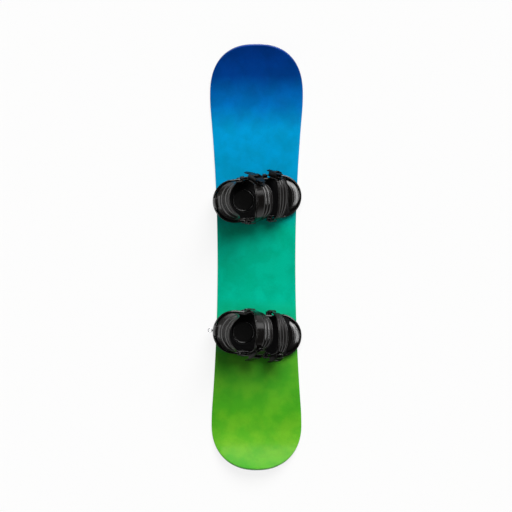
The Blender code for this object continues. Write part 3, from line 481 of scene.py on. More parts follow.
@dataclass(frozen=True)
class PrintedSheet(Finish):
    """Dye-printed polyamide topsheet under satin lacquer: a long fade with washed, cloudy edges.

    The fade runs along the board, and each dye stands by its millimetres from the tail. Two
    noises shift it, of hand and of thumb size. A third one moves it between a cool and a warm
    tone, as pigment pools in a wash. Where a fourth one crosses its middle value, the wash has
    dried with a darker line, and a fine speckle lies over it all.
    """

    length: float = 1380.0  # millimetres of the fade
    drift: float = 12.0     # how far the noises shift it
    clouds: float = 210.0   # sizes of the noises in millimetres
    spots: float = 34.0
    pools: float = 62.0
    tides: float = 55.0
    speckle: float = 4.5
    dried: float = 0.955    # how dark the wash dries along its lines
    cool: Triple = (0.76, 0.925, 0.90)
    warm: Triple = (1.26, 1.055, 1.085)
    # At both tips the dyes carry painted light and shade that work against the lamps: the tail's tip rises
    # towards the sun and is lit more, so its dye is painted darker; the nose's tip turns away from the sun,
    # so its dye is painted lighter.
    dyes_with_painted_tip_light: tuple[tuple[float, str], ...] = (
        (0, "4AAE2C"), (90, "6AB82A"), (180, "54AC20"), (380, "48A028"), (475, "10AC70"),
        (570, "00BC98"), (640, "00B08C"), (790, "00B290"), (940, "0098C8"),
        (1110, "0098D0"), (1190, "006EB8"), (1290, "004090"), (1380, "003E98"),
    )

    def fade(self, tree: Tree, place: Socket) -> Node:
        """The dyes along the board, their borders shifted by clouds and spots.

        Args:
            tree: the node tree.
            place: coordinates in metres.

        Returns:
            The node of the colour.
        """
        clouds = add_node(tree, "TexNoise", {"Vector": place, "Scale": 1 / (self.clouds * MM), "Detail": 5.0})
        spots = add_node(tree, "TexNoise", {"Vector": place, "Scale": 1 / (self.spots * MM), "Detail": 6.0})
        both = add_node(tree, "Math", {0: clouds, 1: spots}, operation="ADD")
        shift = add_node(tree, "MapRange", {
            "Value": both, "From Min": 2 * NOISE_LOW, "From Max": 2 * NOISE_HIGH,
            "To Min": -self.drift * MM, "To Max": self.drift * MM})
        along = add_node(tree, "SeparateXYZ", {"Vector": place}).outputs["Y"]
        moved = add_node(tree, "Math", {0: along, 1: shift}, operation="ADD")
        share = add_node(tree, "MapRange", {
            "Value": moved, "From Min": -self.length * MM / 2, "From Max": self.length * MM / 2})
        return add_node(tree, "ValToRGB", {"Fac": share}, [
            (at / self.length, hex_colour(code)) for at, code in self.dyes_with_painted_tip_light])

    def drying(self, tree: Tree, place: Socket) -> Node:
        """How light the wash has dried: speckled, and darker along its tide lines.

        Args:
            tree: the node tree.
            place: coordinates in metres.

        Returns:
            The node of the factor.
        """
        speckle = add_node(tree, "TexNoise", {
            "Vector": place, "Scale": 1 / (self.speckle * MM), "Detail": 3.0})
        speckle = add_node(tree, "MapRange", {
            "Value": speckle, "From Min": NOISE_LOW, "From Max": NOISE_HIGH,
            "To Min": 1.0 - self.tone, "To Max": 1.0 + self.tone})
        tide = add_node(tree, "TexNoise", {"Vector": place, "Scale": 1 / (self.tides * MM), "Detail": 7.0})
        tide = add_node(tree, "Math", {0: tide, 1: 0.5}, operation="SUBTRACT")
        tide = add_node(tree, "Math", {0: tide}, operation="ABSOLUTE")
        line = add_node(tree, "MapRange", {"Value": tide, "From Max": 0.09, "To Min": self.dried},
                        interpolation_type="SMOOTHSTEP")
        return add_node(tree, "Math", {0: speckle, 1: line}, operation="MULTIPLY")

    def pattern(self, tree: Tree, place: Socket) -> tuple[Node, Node]:
        """The fade with its clouds and pools, and the lacquer's faint ripple.

        Args:
            tree: the node tree.
            place: coordinates in metres.

        Returns:
            The nodes of its colour and its height.
        """
        pools = add_node(tree, "TexNoise", {"Vector": place, "Scale": 1 / (self.pools * MM), "Detail": 6.0})
        pigment = add_node(tree, "ValToRGB", {"Fac": pools}, [
            (0.36, (*self.cool, 1.0)), (0.64, (*self.warm, 1.0))])
        pigment.color_ramp.interpolation = "EASE"
        washed = add_node(tree, "VectorMath", {0: self.fade(tree, place), 1: pigment},
                          operation="MULTIPLY")
        colour = add_node(tree, "VectorMath", {0: washed, "Scale": self.drying(tree, place)},
                          operation="SCALE")
        return colour, add_node(tree, "TexNoise", {"Vector": place, "Scale": 1 / (self.grain * MM)})


@dataclass(frozen=True)
class BallisticWeave(Finish):
    """Woven nylon cloth in a plain weave: two sets of threads, one over the other in turn.

    The height is the product of two sine waves, one along U and one along V, whose sign swaps
    from cell to cell. The thread is drawn twice as coarse as the real 0.6 mm, so that it shows.
    """

    thread: float = 1.2  # millimetres from thread to thread
    fuzz: float = 14.0   # millimetres of a patch of fuzz

    def pattern(self, tree: Tree, place: Socket) -> tuple[Node, Node]:
        """Threads with a painted highlight on their crowns and painted shade in the gaps.

        Args:
            tree: the node tree.
            place: coordinates in metres.

        Returns:
            The nodes of its colour and its height.
        """
        turn = math.pi / (self.thread * MM)
        parts = add_node(tree, "SeparateXYZ", {"Vector": place})
        waves = []
        for key in ("X", "Y"):
            phase = add_node(tree, "Math", {0: parts.outputs[key], 1: turn}, operation="MULTIPLY")
            waves.append(add_node(tree, "Math", {0: phase}, operation="SINE"))
        cell = add_node(tree, "Math", {0: waves[0], 1: waves[1]}, operation="MULTIPLY")
        height = add_node(tree, "MapRange", {
            "Value": cell, "From Min": -0.6, "From Max": 0.6}, interpolation_type="SMOOTHSTEP")
        fuzz = add_node(tree, "TexNoise", {"Vector": place, "Scale": 1 / (self.fuzz * MM), "Detail": 4.0})
        weave_light_and_shade = add_node(tree, "Math", {0: height, 1: fuzz}, operation="MULTIPLY")
        # The colour follows the height: a painted highlight on the crowns and painted shade in the gaps.
        colour = add_node(tree, "ValToRGB", {"Fac": weave_light_and_shade}, [
            (0.05, shaded(self.colour, 0.55)), (0.55, shaded(self.colour, 1.35))])
        return colour, height


@dataclass(frozen=True)
class GroundSurface(Finish):
    """A ground surface: parallel scratches along the board, drawn as noise that is stretched.

    They are drawn some ten times as wide as the real ones, which are too fine to show.
    """

    stretch: float = 40.0  # how much longer a scratch is than wide

    def pattern(self, tree: Tree, place: Socket) -> tuple[Node, Node]:
        """Scratches that run along Y, in the colour and in the relief.

        Args:
            tree: the node tree.
            place: coordinates in metres.

        Returns:
            The nodes of its colour and its height.
        """
        drawn = add_node(tree, "Mapping", {"Vector": place, "Scale": (1.0, 1.0 / self.stretch, 1.0)})
        scratches = add_node(tree, "TexNoise", {
            "Vector": drawn, "Scale": 1 / (self.grain * MM), "Detail": 3.0})
        colour = add_node(tree, "ValToRGB", {"Fac": scratches}, [
            (NOISE_LOW, shaded(self.colour, 1.0 - self.tone)), (NOISE_HIGH, hex_colour(self.colour))])
        return colour, scratches


@dataclass(frozen=True)
class TreadedFoam(Finish):
    """Moulded EVA foam with a tread of small lozenges, which the sole grips.

    Two sets of slanting grooves cross at right angles: |sin| of the sum and of the difference
    of the coordinates, of which the smaller one, levelled off above the grooves, is the height.
    """

    tread: float = 7.0  # millimetres from groove to groove along the foot
    # painted shade: the share of the colour that a groove keeps
    groove_shade: float = 0.75  # share of the colour that is left in a groove

    def pattern(self, tree: Tree, place: Socket) -> tuple[Node, Node]:
        """Lozenges with painted shade in the grooves, and the foam's cells on top.

        Args:
            tree: the node tree.
            place: coordinates in metres.

        Returns:
            The nodes of its colour and its height.
        """
        turn = math.pi / (self.tread * MM)
        parts = add_node(tree, "SeparateXYZ", {"Vector": place})
        ridges = []
        for operation in ("ADD", "SUBTRACT"):
            slant = add_node(tree, "Math", {
                0: parts.outputs["X"], 1: parts.outputs["Y"]}, operation=operation)
            phase = add_node(tree, "Math", {0: slant, 1: turn}, operation="MULTIPLY")
            wave = add_node(tree, "Math", {0: phase}, operation="SINE")
            ridges.append(add_node(tree, "Math", {0: wave}, operation="ABSOLUTE"))
        least = add_node(tree, "Math", {0: ridges[0], 1: ridges[1]}, operation="MINIMUM")
        pads = add_node(tree, "MapRange", {
            "Value": least, "From Min": 0.08, "From Max": 0.35}, interpolation_type="SMOOTHSTEP")
        cells = add_node(tree, "TexNoise", {"Vector": place, "Scale": 1 / (self.grain * MM)})
        height = add_node(tree, "Math", {0: cells, 1: 0.15, 2: pads}, operation="MULTIPLY_ADD")
        # The colour follows the height: painted shade in the grooves, full colour on the lozenges.
        colour = add_node(tree, "ValToRGB", {"Fac": height}, [
            (0.1, shaded(self.colour, self.groove_shade)), (1.0, hex_colour(self.colour))])
        return colour, height


# Satin lacquer over print: soft, broad reflections that leave the dyes their depth.
TOPSHEET = PrintedSheet("lacquered printed topsheet", "topsheet", "0098A8", 0.20, grain=2.2, relief=0.02,
                        specular=0.05, tone=0.035, rub=0.05)
# ABS, sanded after pressing: matt, and dyed along the board as the print is.
SIDEWALL = PrintedSheet("sanded ABS sidewall", "sidewall", "10A0A0", 0.5, grain=0.5, relief=0.05,
                        specular=0.3, tone=0.05)
# Ground carbon steel: long fine scratches that draw the reflections out along the edge.
EDGE_STEEL = GroundSurface("ground carbon steel edge", "edge_steel", "C4C7CA", 0.28, grain=0.25, relief=0.01,
                          metallic=1.0, tone=0.15)
# Sintered polyethylene with graphite: dull black with a waxy sheen, ground lengthwise on a stone.
RUNNING_BASE = GroundSurface("stone-ground sintered polyethylene", "base_plastic", "1B1D20", 0.42, grain=1.6,
                             relief=0.02, specular=0.4, tone=0.35, stretch=25.0)
# Laminated poplar, planed along the grain: pale with faint streaks, and sealed inside.
CORE_WOOD = GroundSurface("laminated poplar core", "core_wood", "C9A877", 0.6, grain=2.0, relief=0.05,
                         tone=0.25)
# Glass-filled nylon as it leaves a polished mould: near-black and glossy, with long soft highlights.
GLOSS_NYLON = Finish("gloss moulded nylon", "gloss_nylon", "0B0A09", 0.14, grain=1.1, relief=0.012,
                     specular=0.42, rub=0.03)
# The same nylon from a spark-eroded mould: an even fine grain that dulls the highlights.
SATIN_NYLON = Finish("spark-eroded moulded nylon", "matte_nylon", "0E0C0B", 0.23, grain=0.55, relief=0.03,
                     specular=0.36, rub=0.03)
# The nylon of buckles and levers, filled with long glass fibre: their flat faces stay dark.
BUCKLE_NYLON = Finish("long-fibre moulded nylon", "gloss_nylon", "0C0B0A", 0.34, grain=0.7, relief=0.02,
                      specular=0.15, rub=0.04)
# The toe ramps' nylon: polished, and scuffed by soles, so the highlights have soft borders.
RAMP_NYLON = Finish("scuffed moulded nylon", "gloss_nylon", "0C0B0A", 0.20, grain=1.4, relief=0.015,
                    specular=0.5, rub=0.05)
# The highback's nylon, sand-blasted in the mould: broad, soft highlights on its ledges.
SHELL_NYLON = Finish("textured moulded nylon", "gloss_nylon", "110F0D", 0.34, grain=0.9, relief=0.02,
                     specular=0.30, rub=0.04)
# Thermoplastic rubber over the straps: soft, almost black, with long highlights on its ribs.
STRAP_RUBBER = Finish("moulded strap rubber", "soft_pad", "0C0A09", 0.18, grain=0.8, relief=0.015,
                      specular=0.34, rub=0.04)
# Cast polyurethane gel under the heel: smooth, with sharp highlights on its rim.
HEEL_GEL = Finish("cast polyurethane gel", "soft_pad", "090909", 0.17, grain=1.6, relief=0.01,
                  specular=0.45, rub=0.03)
# Ballistic nylon over the pads: matt, with the glint of its thick threads, and a painted highlight on their
# crowns and painted shade between them.
STRAP_CLOTH = BallisticWeave("ballistic nylon weave", "soft_pad", "1A1A1C", 0.62, grain=1.0, relief=0.12,
                             specular=0.3, sheen=0.15, lays_on=Coordinates.SURFACE)
# EVA foam, moulded with its tread: dull, with painted shade in the grooves.
FOOTBED_FOAM = TreadedFoam("treaded EVA foam", "soft_pad", "0F0F10", 0.45, grain=0.7, relief=0.4,
                           specular=0.08, lays_on=Coordinates.SURFACE)
# Zinc plated bolts, passivated dark: grey-black, with small soft highlights.
BOLT_STEEL = Finish("black zinc plated steel", "fastener_steel", "3A3A3D", 0.3, grain=0.5, relief=0.01,
                    metallic=0.9)
# Stainless steel, drawn and tumbled bright: small, sharp reflections.
BRIGHT_STEEL = Finish("polished stainless steel", "fastener_steel", "D2D4D6", 0.16, grain=0.6, relief=0.006,
                      metallic=1.0, tone=0.05)


def dress(piece: Piece, finish: Finish, body: str, *replaced: str) -> Piece:
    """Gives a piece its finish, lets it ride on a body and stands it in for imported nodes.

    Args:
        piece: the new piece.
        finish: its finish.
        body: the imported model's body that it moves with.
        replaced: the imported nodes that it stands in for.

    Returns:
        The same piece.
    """
    piece.data.materials.clear()
    piece.data.materials.append(finish.make())
    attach(piece, body)
    if replaced:
        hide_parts(*replaced)
    LOG.info("%s rides on %s", piece.name, body)
    return piece


def paint(name: str, finish: Finish) -> None:
    """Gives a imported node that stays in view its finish.

    Args:
        name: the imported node's name.
        finish: its finish.
    """
    materials = bpy.data.objects[name].data.materials
    materials.clear()
    materials.append(finish.make())
    LOG.info("%s keeps its packed shape", name)


# Board


@dataclass
class Board:
    """The board's layers, as smooth surfaces over one outline and one side profile."""

    contact: float = 1071.5 * MM
    nose_length: float = 162.5 * MM
    tail_length: float = 146.0 * MM
    nose_width: float = 302.0 * MM
    tail_width: float = 292.5 * MM
    waist_width: float = 253.5 * MM
    waist_offset: float = -10.0 * MM
    hip_blend: float = 60.0 * MM
    nose_squareness: float = 2.45
    tail_squareness: float = 2.25
    nose_lift: float = 50.0 * MM
    tail_lift: float = 44.0 * MM
    edge_height: float = 1.8 * MM
    edge_width: float = 2.2 * MM
    sheet_bottom: float = 8.4 * MM
    top: float = 9.2 * MM
    sheet_inset: float = 1.0 * MM
    seam: float = 0.1 * MM        # hairline between two bonded layers
    wall_width: float = 7.0 * MM
    wall_slant: float = 0.3 * MM  # how far the sidewall leans in at its top
    steps: int = 44               # stations on a tip, and on half of the sidecut
    face_steps: int = 10          # columns from a sheet's rim to its middle line

    def sidecut_half(self, widest: float, reach: float) -> Array:
        """Half widths along one half of the sidecut.

        The half width opens as a parabola away from the waist, and a second parabola with the
        same tangent closes it to the widest point.

        Args:
            widest: the width at the end of the sidecut.
            reach: how far that is from the waist.

        Returns:
            (n, 2) half widths and distances from the waist.
        """
        run = reach - self.hip_blend
        opening = (widest - self.waist_width) / 2 / (run * reach)
        closing = opening * run / self.hip_blend
        along = np.linspace(0.0, reach, self.steps)
        inner = self.waist_width / 2 + opening * along ** 2
        outer = widest / 2 - closing * (reach - along) ** 2
        return np.stack([np.where(along <= run, inner, outer), along], -1)

    def tip(self, width: float, length: float, squareness: float) -> Array:
        """Superellipse from the widest point to the tip: cosine and sine to the power 2 / squareness.

        Args:
            width: the width where the tip starts.
            length: the tip's length.
            squareness: 2 for an ellipse, and more for fuller shoulders.

        Returns:
            (n, 2) half widths and distances from the widest point.
        """
        turn = np.linspace(0.0, math.pi / 2, self.steps + 1)[1:]
        across = np.clip(np.cos(turn), 0.0, 1.0) ** (2 / squareness)
        across[-1] = 0.0
        return np.stack([width / 2 * across, length * np.sin(turn) ** (2 / squareness)], -1)

    def right_side(self) -> Array:
        """The right side, from the tail's tip to the nose's tip.

        Returns:
            (n, 2) places.
        """
        half = self.contact / 2
        fore = self.sidecut_half(self.nose_width, half - self.waist_offset)
        aft = self.sidecut_half(self.tail_width, half + self.waist_offset)
        nose = self.tip(self.nose_width, self.nose_length, self.nose_squareness)
        tail = self.tip(self.tail_width, self.tail_length, self.tail_squareness)
        return np.concatenate([
            tail[::-1] * (1, -1) - (0, half), aft[::-1] * (1, -1) + (0, self.waist_offset),
            fore[1:] + (0, self.waist_offset), nose + (0, half)])

    def outline(self) -> Array:
        """The closed outline: the right side, then its mirror image back to the tail."""
        right = self.right_side()
        return np.concatenate([right, (right[1:-1] * (-1, 1))[::-1]])

    def inset(self, amount: Array) -> Array:
        """The outline moved inwards, square to itself: place minus amount times the outward normal.

        Args:
            amount: (m,) distances.

        Returns:
            (n, m, 2) points.
        """
        line = self.outline()
        run = np.roll(line, -1, 0) - np.roll(line, 1, 0)
        run /= np.linalg.norm(run, axis=1, keepdims=True)
        outward = np.stack([run[:, 1], -run[:, 0]], -1)
        moved = line[:, None, :] - amount[None, :, None] * outward[:, None, :]
        middle = np.abs(line[:, 0]) < SAME_CORNER
        moved[middle, :, 0] = 0.0
        return moved

    def lift(self, flat: Array, height: Array) -> Array:
        """Bends flat places (x, y) at a height up along the tips' arcs.

        Beyond the contact length the base follows a circle through the tip's lift, and a height
        is measured square to it.

        Args:
            flat: (..., 2) places.
            height: (...) heights above the running base.

        Returns:
            (..., 3) places.
        """
        y = flat[..., 1]
        beyond = np.maximum(np.abs(y) - self.contact / 2, 0.0)
        length = np.where(y > 0, self.nose_length, self.tail_length)
        rise = np.where(y > 0, self.nose_lift, self.tail_lift)
        radius = (length ** 2 + rise ** 2) / (2 * rise)
        slope = np.arcsin(np.clip(beyond / radius, 0.0, 1.0))
        return np.stack([
            flat[..., 0], y - np.sign(y) * height * np.sin(slope),
            radius * (1 - np.cos(slope)) + height * np.cos(slope)], -1)

    def rim(self, name: str, corners: Array, radii: Array) -> Piece:
        """A closed band along the outline.

        Args:
            name: the piece's name.
            corners: (k, 2) insets and heights of its section's corners.
            radii: (k,) a radius for each of them.

        Returns:
            The linked object.
        """
        profile = rounded(corners, radii, 3)
        flat = self.inset(profile[:, 0])
        return surface(name, self.lift(flat, np.broadcast_to(profile[:, 1], flat.shape[:2])), Ends.JOINED)

    def plate(self, name: str, inset: float, low: float, high: float, edge: float) -> Piece:
        """A closed sheet: a rounded rim and, over it and under it, rows from side to side.

        The sheet is one grid. Its rows run round the outline, and its columns go out from the
        lower middle line to the rim, over the rounded edge and back to the upper middle line.
        Inside the rim a point keeps its place along the board, and its x is a share of the
        rim's. The rim's section is the outer half of a rounded rectangle as wide as the sidewall.

        Args:
            name: the piece's name.
            inset: how far the rim lies inside the board's outline.
            low: height of the underside.
            high: height of the upper side.
            edge: radius of the upper edge; the lower one has 0.6 of it.

        Returns:
            The linked object.
        """
        inside = inset + self.wall_width
        section = rounded(np.array([[inset, low], [inset, high], [inside, high], [inside, low]]),
                          np.array([edge * 0.6, edge, 0.0, 0.0]), 3)
        face = section[:len(section) // 2]
        flat = self.inset(face[:, 0])
        share = np.linspace(0.0, 1.0, self.face_steps + 1)
        shrink = np.stack([share, np.ones_like(share)], -1)
        places = np.concatenate([flat[:, :1] * shrink[:-1], flat, flat[:, -1:] * shrink[-2::-1]], axis=1)
        heights = np.concatenate([
            np.full(self.face_steps, face[0, 1]), face[:, 1], np.full(self.face_steps, face[-1, 1])])
        grid = self.lift(places, np.broadcast_to(heights, places.shape[:2]))
        return surface(name, grid, Ends.JOINED, 50.0, poles=True)

    def build(self) -> None:
        """Makes and dresses edge, base, sidewall and topsheet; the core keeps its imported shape."""
        edge, width = self.edge_height, self.edge_width
        steel = self.rim("steel_edge_ring", np.array([
            [0.0, 0.0], [0.0, edge], [width, edge], [width, 0.0]]), np.array([0.12, 0.25, 0.05, 0.05]) * MM)
        dress(steel, EDGE_STEEL, "board", "steel_edge")
        base = self.plate("running_base_sheet", width + self.seam, 0.0, edge, 0.1 * MM)
        dress(base, RUNNING_BASE, "board", "base_sheet")
        low, high = edge + self.seam, self.sheet_bottom - self.seam
        wall = self.rim("sidewall_ring", np.array([
            [0.0, low], [self.wall_slant, high], [self.wall_width, high], [self.wall_width, low]]),
            np.array([0.2, 0.7, 0.2, 0.2]) * MM)
        dress(wall, SIDEWALL, "board", "sidewall")
        sheet = self.plate("printed_topsheet", self.sheet_inset, self.sheet_bottom, self.top, 0.45 * MM)
        dress(sheet, TOPSHEET, "board", "topsheet")
        paint("wood_core", CORE_WOOD)


# Bindings


@dataclass
class Binding:
    """One binding in its own frame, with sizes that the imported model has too."""

    prefix: str
    side: int  # +1 if its outer side faces the nose
    y: float
    turn: float

    x: float = 2.5 * MM
    z: float = 9.5 * MM
    seat: float = 0.3 * MM
    heel_centre: float = -74.0 * MM
    hoop_radius: float = 70.0 * MM
    hoop_wall: float = 6.0 * MM
    toe_centre: float = 74.0 * MM
    toe_radius: float = 70.0 * MM
    wall: float = 5.0 * MM
    floor: float = 7.3 * MM
    wall_height: float = 42.0 * MM
    toe_rim: float = 18.0 * MM
    slope_start: float = 46.0 * MM
    slope_end: float = 84.0 * MM
    groove_depth: float = 0.9 * MM
    groove_middle: float = 30.0 * MM
    groove_half: float = 70.0 * MM
    lip_bevel: float = 1.2 * MM
    disc_radius: float = 48.4 * MM
    footbed_top: float = 15.1 * MM
    footbed_gap: float = 0.5 * MM
    footbed_edge: float = 1.2 * MM  # radius of its border
    foam_sink: float = 0.6 * MM     # the tread lies this far under the footbed's top
    dish_centre: float = -46.0 * MM
    dish_radius: float = 36.5 * MM
    dish_depth: float = 2.5 * MM
    ramp_start: float = 100.0 * MM
    ramp_low: float = 14.0 * MM
    ramp_rise: float = 10.0 * MM
    ramp_nose: float = 23.0 * MM    # length over which it falls to the toe's arc
    ramp_fall: float = 10.5 * MM
    rib_pitch: float = 6.0 * MM
    rib_height: float = 0.8 * MM
    hoop_bottom: float = 12.0 * MM
    hoop_back: float = 78.0 * MM
    hoop_front: float = 40.0 * MM
    hoop_end: float = 2.0 * MM
    channel_depth: float = 1.1 * MM
    hinge_u: float = -52.0 * MM
    hinge_w: float = 62.0 * MM
    back_wall: float = 4.4 * MM
    back_lean: float = 11.0 * DEG
    back_top: float = 250.0 * MM
    back_top_radius: float = 52.0 * MM
    back_low: float = 63.0 * MM
    back_half: float = 88.0 * MM
    back_shoulder: float = 84.0 * MM
    back_squareness: float = 2.4
    wing: float = 13.0 * MM
    ledge_start: float = 84.0 * MM
    ledge_pitch: float = 9.5 * MM
    ledge_depth: float = 1.5 * MM
    ledge_bend: float = 12.0 * MM   # how far a ledge drops at the half width
    slide_half: float = 19.0 * MM   # the lean block's plain slide
    slide_top: float = 122.0 * MM
    belts: Pair = (155.0 * MM, 212.0 * MM)
    liner_thick: float = 3.0 * MM
    liner_low: float = 98.0 * MM
    liner_inset: float = 20.0 * MM
    liner_drop: float = 14.0 * MM
    liner_channels: tuple[float, ...] = (128.0 * MM, 165.0 * MM, 200.0 * MM)
    toe_bolt: Pair = (32.0 * MM, 22.0 * MM)
    boss_radius: float = 10.0 * MM

    def world(self, local: Array) -> Array:
        """Turns places (u, v, w) about the vertical and moves them to the binding's seat.

        Args:
            local: (..., 3) places in the binding's frame.

        Returns:
            (..., 3) places in the world frame.
        """
        cosine, sine = math.cos(self.turn), math.sin(self.turn)
        rotation = np.array([[cosine, sine, 0.0], [-sine, cosine, 0.0], [0.0, 0.0, 1.0]])
        return local @ rotation + (self.x, self.y, self.z)

    def map_from_above(self, piece: Piece) -> None:
        """Gives a piece a map from above: U and V are u and v in this frame, in metres.

        Args:
            piece: a piece with a UV map.
        """
        places = np.empty(len(piece.data.vertices) * 3)
        piece.data.vertices.foreach_get("co", places)
        local = places.reshape(-1, 3)[:, :2] - (self.x, self.y)
        cosine, sine = math.cos(self.turn), math.sin(self.turn)
        flat = local @ np.array([[cosine, -sine], [sine, cosine]])
        corner = np.empty(len(piece.data.loops), dtype=np.int32)
        piece.data.loops.foreach_get("vertex_index", corner)
        layer = piece.data.uv_layers["Surface"]
        layer.data.foreach_set("uv", flat[corner].astype(np.float32).ravel())

    def name(self, label: str) -> str:
        """The label with this binding's prefix."""
        return f"{self.prefix}_{label}"

    @property
    def half_width(self) -> float:
        """Half the width of the tray outside, between the hoop's arms."""
        return self.hoop_radius - self.hoop_wall - self.seat

    @property
    def back_radius(self) -> float:
        """Radius of the highback's middle surface at its foot."""
        return self.half_width - self.back_wall / 2

    def foot_line(self, steps: int = 40) -> tuple[Array, Array]:
        """The tray's closed outline and its outward normals.

        It is a half circle about the heel's centre, a straight side, an arc of a slightly larger
        circle about the toe's centre and the other side.

        Args:
            steps: intervals on the heel's arc; the toe's has as many, and a side half of them.

        Returns:
            (n, 2) places and (n, 2) normals.
        """
        flare = math.acos(self.half_width / self.toe_radius)
        left = on_circle(np.linspace(1.5 * math.pi, 0.5 * math.pi, steps + 1))
        right = on_circle(np.linspace(0.5 * math.pi + flare, -0.5 * math.pi - flare, steps + 1))
        back = left * self.half_width + (self.heel_centre, 0.0)
        front = right * self.toe_radius + (self.toe_centre, 0.0)
        share = np.linspace(0.0, 1.0, steps // 2 + 2)[1:-1, None]
        side = back[-1] + share * (front[0] - back[-1])
        normal = np.broadcast_to((0.0, 1.0), side.shape)
        return (np.concatenate([back, side, front, side[::-1] * (1, -1)]),
                np.concatenate([left, normal, right, normal * (1, -1)]))

    def wall_top(self, u: Array) -> Array:
        """Height of the tray's wall: level along the foot, then an ease down to the toe's rim."""
        share = (u - self.slope_start) / (self.slope_end - self.slope_start)
        return self.wall_height - (self.wall_height - self.toe_rim) * smoothstep(share)

    def tray_wall(self, line: Array, normal: Array) -> Array:
        """The tray's wall: up outside past a groove, over the bevelled lip and down to the floor.

        Its section has a corner for each inset below; the last two only lead back under it.

        Args:
            line: (n, 2) places on the tray's outline.
            normal: (n, 2) outward normals there.

        Returns:
            (n, m, 3) grid.
        """
        top = self.wall_top(line[:, 0])[:, None]
        sunk = self.groove_depth * bump((line[:, 0] - self.groove_middle) / self.groove_half)
        corners = np.zeros((len(line), 11, 2))
        corners[:, :, 0] = np.array([0.4, 0.0, 0.0, 0.0, 0.0, 0.0, 2.8, 5.0, 5.0, 25.0, 25.0]) * MM
        corners[:, 2:4, 0] += sunk[:, None]
        corners[:, 1:5, 1] = np.array([5.4, 6.4, 8.2, 9.2]) * MM
        corners[:, 5:8, 1] = top - (self.lip_bevel, 0.0, 0.0)
        corners[:, 8:10, 1] = self.floor
        radii = np.array([0.05, 0.8, 0.8, 0.8, 0.6, 0.8, 1.0, 1.6, 2.5, 0.05, 0.05]) * MM
        profile = rounded(corners, radii, 3)[:, :9 * 4]
        places = line[:, None, :] - profile[..., :1] * normal[:, None, :]
        return np.concatenate([places, profile[..., 1:]], -1)

    def build_tray(self) -> None:
        """The tray: one closed surface, whose rows go round the foot.

        A column goes over the wall, in along the floor to the disc's bore, down the bore and back
        underneath. On the floor a point runs from the wall's foot to the bore in even shares.
        """
        line, normal = self.foot_line()
        wall = self.tray_wall(line, normal)
        bore = (line / np.linalg.norm(line, axis=1, keepdims=True) * self.disc_radius)[:, None]
        share = np.linspace(0.0, 1.0, 8)[1:, None]
        inner = wall[:, -1:, :2] * (1 - share) + bore * share
        under = bore * (1 - share) + wall[:, :1, :2] * share
        under = np.concatenate([bore, under[:, :-1]], 1)
        grid = np.concatenate([
            wall, np.insert(inner, 2, self.floor, axis=-1), np.insert(under, 2, 0.0, axis=-1)], 1)
        tray = surface(self.name("tray"), self.world(grid), Ends.JOINED)
        dress(tray, SATIN_NYLON, "board", self.name("baseplate"))
        self.build_boss("outer", 1)
        self.build_boss("inner", -1)

    def build_boss(self, where: str, sign: int) -> None:
        """The round boss outside the wall at the toe strap's bolt, with a bevelled face.

        Args:
            where: the side of the foot.
            sign: +1 on the outer side, -1 on the inner side.
        """
        face, radius = self.hoop_radius, self.boss_radius
        rings = np.array([
            [self.half_width - 4 * MM, radius], [face - 0.8 * MM, radius],
            [face - 0.2 * MM, radius - 0.25 * MM], [face, radius - 0.8 * MM], [face, 4.2 * MM]])
        rings[:, 0] *= sign * self.side
        boss = turned((self.toe_bolt[0], 0.0, self.toe_bolt[1]), ACROSS, rings, 36)
        dress(surface(self.name(f"strap_boss_{where}"), self.world(boss)), SATIN_NYLON, "board")

    def build_footbed(self) -> None:
        """The footbed: a fan of rows from the dish's centre out to the tray's wall and back below.

        Height is the flat top, less the dish, which falls by its depth over 3 mm at its radius,
        plus a lip round it, less the rounding of the border. The border is the tray's outline,
        drawn in, and cut straight before the toe ramp.
        """
        line, normal = self.foot_line()
        limit = self.ramp_start - self.footbed_gap
        centre = np.array([self.dish_centre, 0.0])
        ray = line - normal * (self.wall + self.footbed_gap) - centre
        cut = np.where(ray[:, 0] > limit - centre[0], (limit - centre[0]) / np.maximum(ray[:, 0], MM), 1.0)
        border = centre + ray * cut[:, None]
        reach = np.linalg.norm(border - centre, axis=1)[:, None]
        near = np.array([0.0, 8.0, 16.0, 24.0, 30.0, 33.0, 34.5, 36.0, 37.5, 39.0, 40.5, 42.0]) * MM
        last = reach - self.footbed_edge
        far = near[-1] + (last - near[-1]) * np.linspace(0.0, 1.0, 12)[1:]
        distance = np.minimum(np.concatenate([np.repeat(near[None], len(line), 0), far], 1), last)
        flat = centre + ray[:, None] / np.linalg.norm(ray, axis=1)[:, None, None] * distance[..., None]
        fall = smoothstep((self.dish_radius + 1.5 * MM - distance) / (3.0 * MM))
        lip = 0.6 * MM * bump((distance - self.dish_radius - 3.2 * MM) / (2.2 * MM))
        height = self.footbed_top - self.foam_sink - self.dish_depth * fall + lip
        turn = np.linspace(0.0, math.pi / 2, 5)[None, 1:, None]
        outward = (ray / reach)[:, None] * self.footbed_edge
        drop = self.footbed_edge * (np.cos(turn) - 1)
        edge = np.concatenate([
            border[:, None] + outward * (np.sin(turn) - 1),
            np.broadcast_to(self.footbed_top - self.foam_sink + drop, (len(line), 4, 1))], -1)
        low = self.floor + self.seat
        foot = np.insert(border, 2, low, axis=-1)[:, None]
        hub = np.broadcast_to(np.append(centre, low), foot.shape)
        grid = np.concatenate([np.concatenate([flat, height[..., None]], -1), edge, foot, hub], 1)
        footbed = surface(self.name("footbed_foam"), self.world(grid), Ends.JOINED, 30.0, poles=True)
        self.map_from_above(footbed)
        dress(footbed, FOOTBED_FOAM, "board", self.name("footbed"))
        self.build_gel()

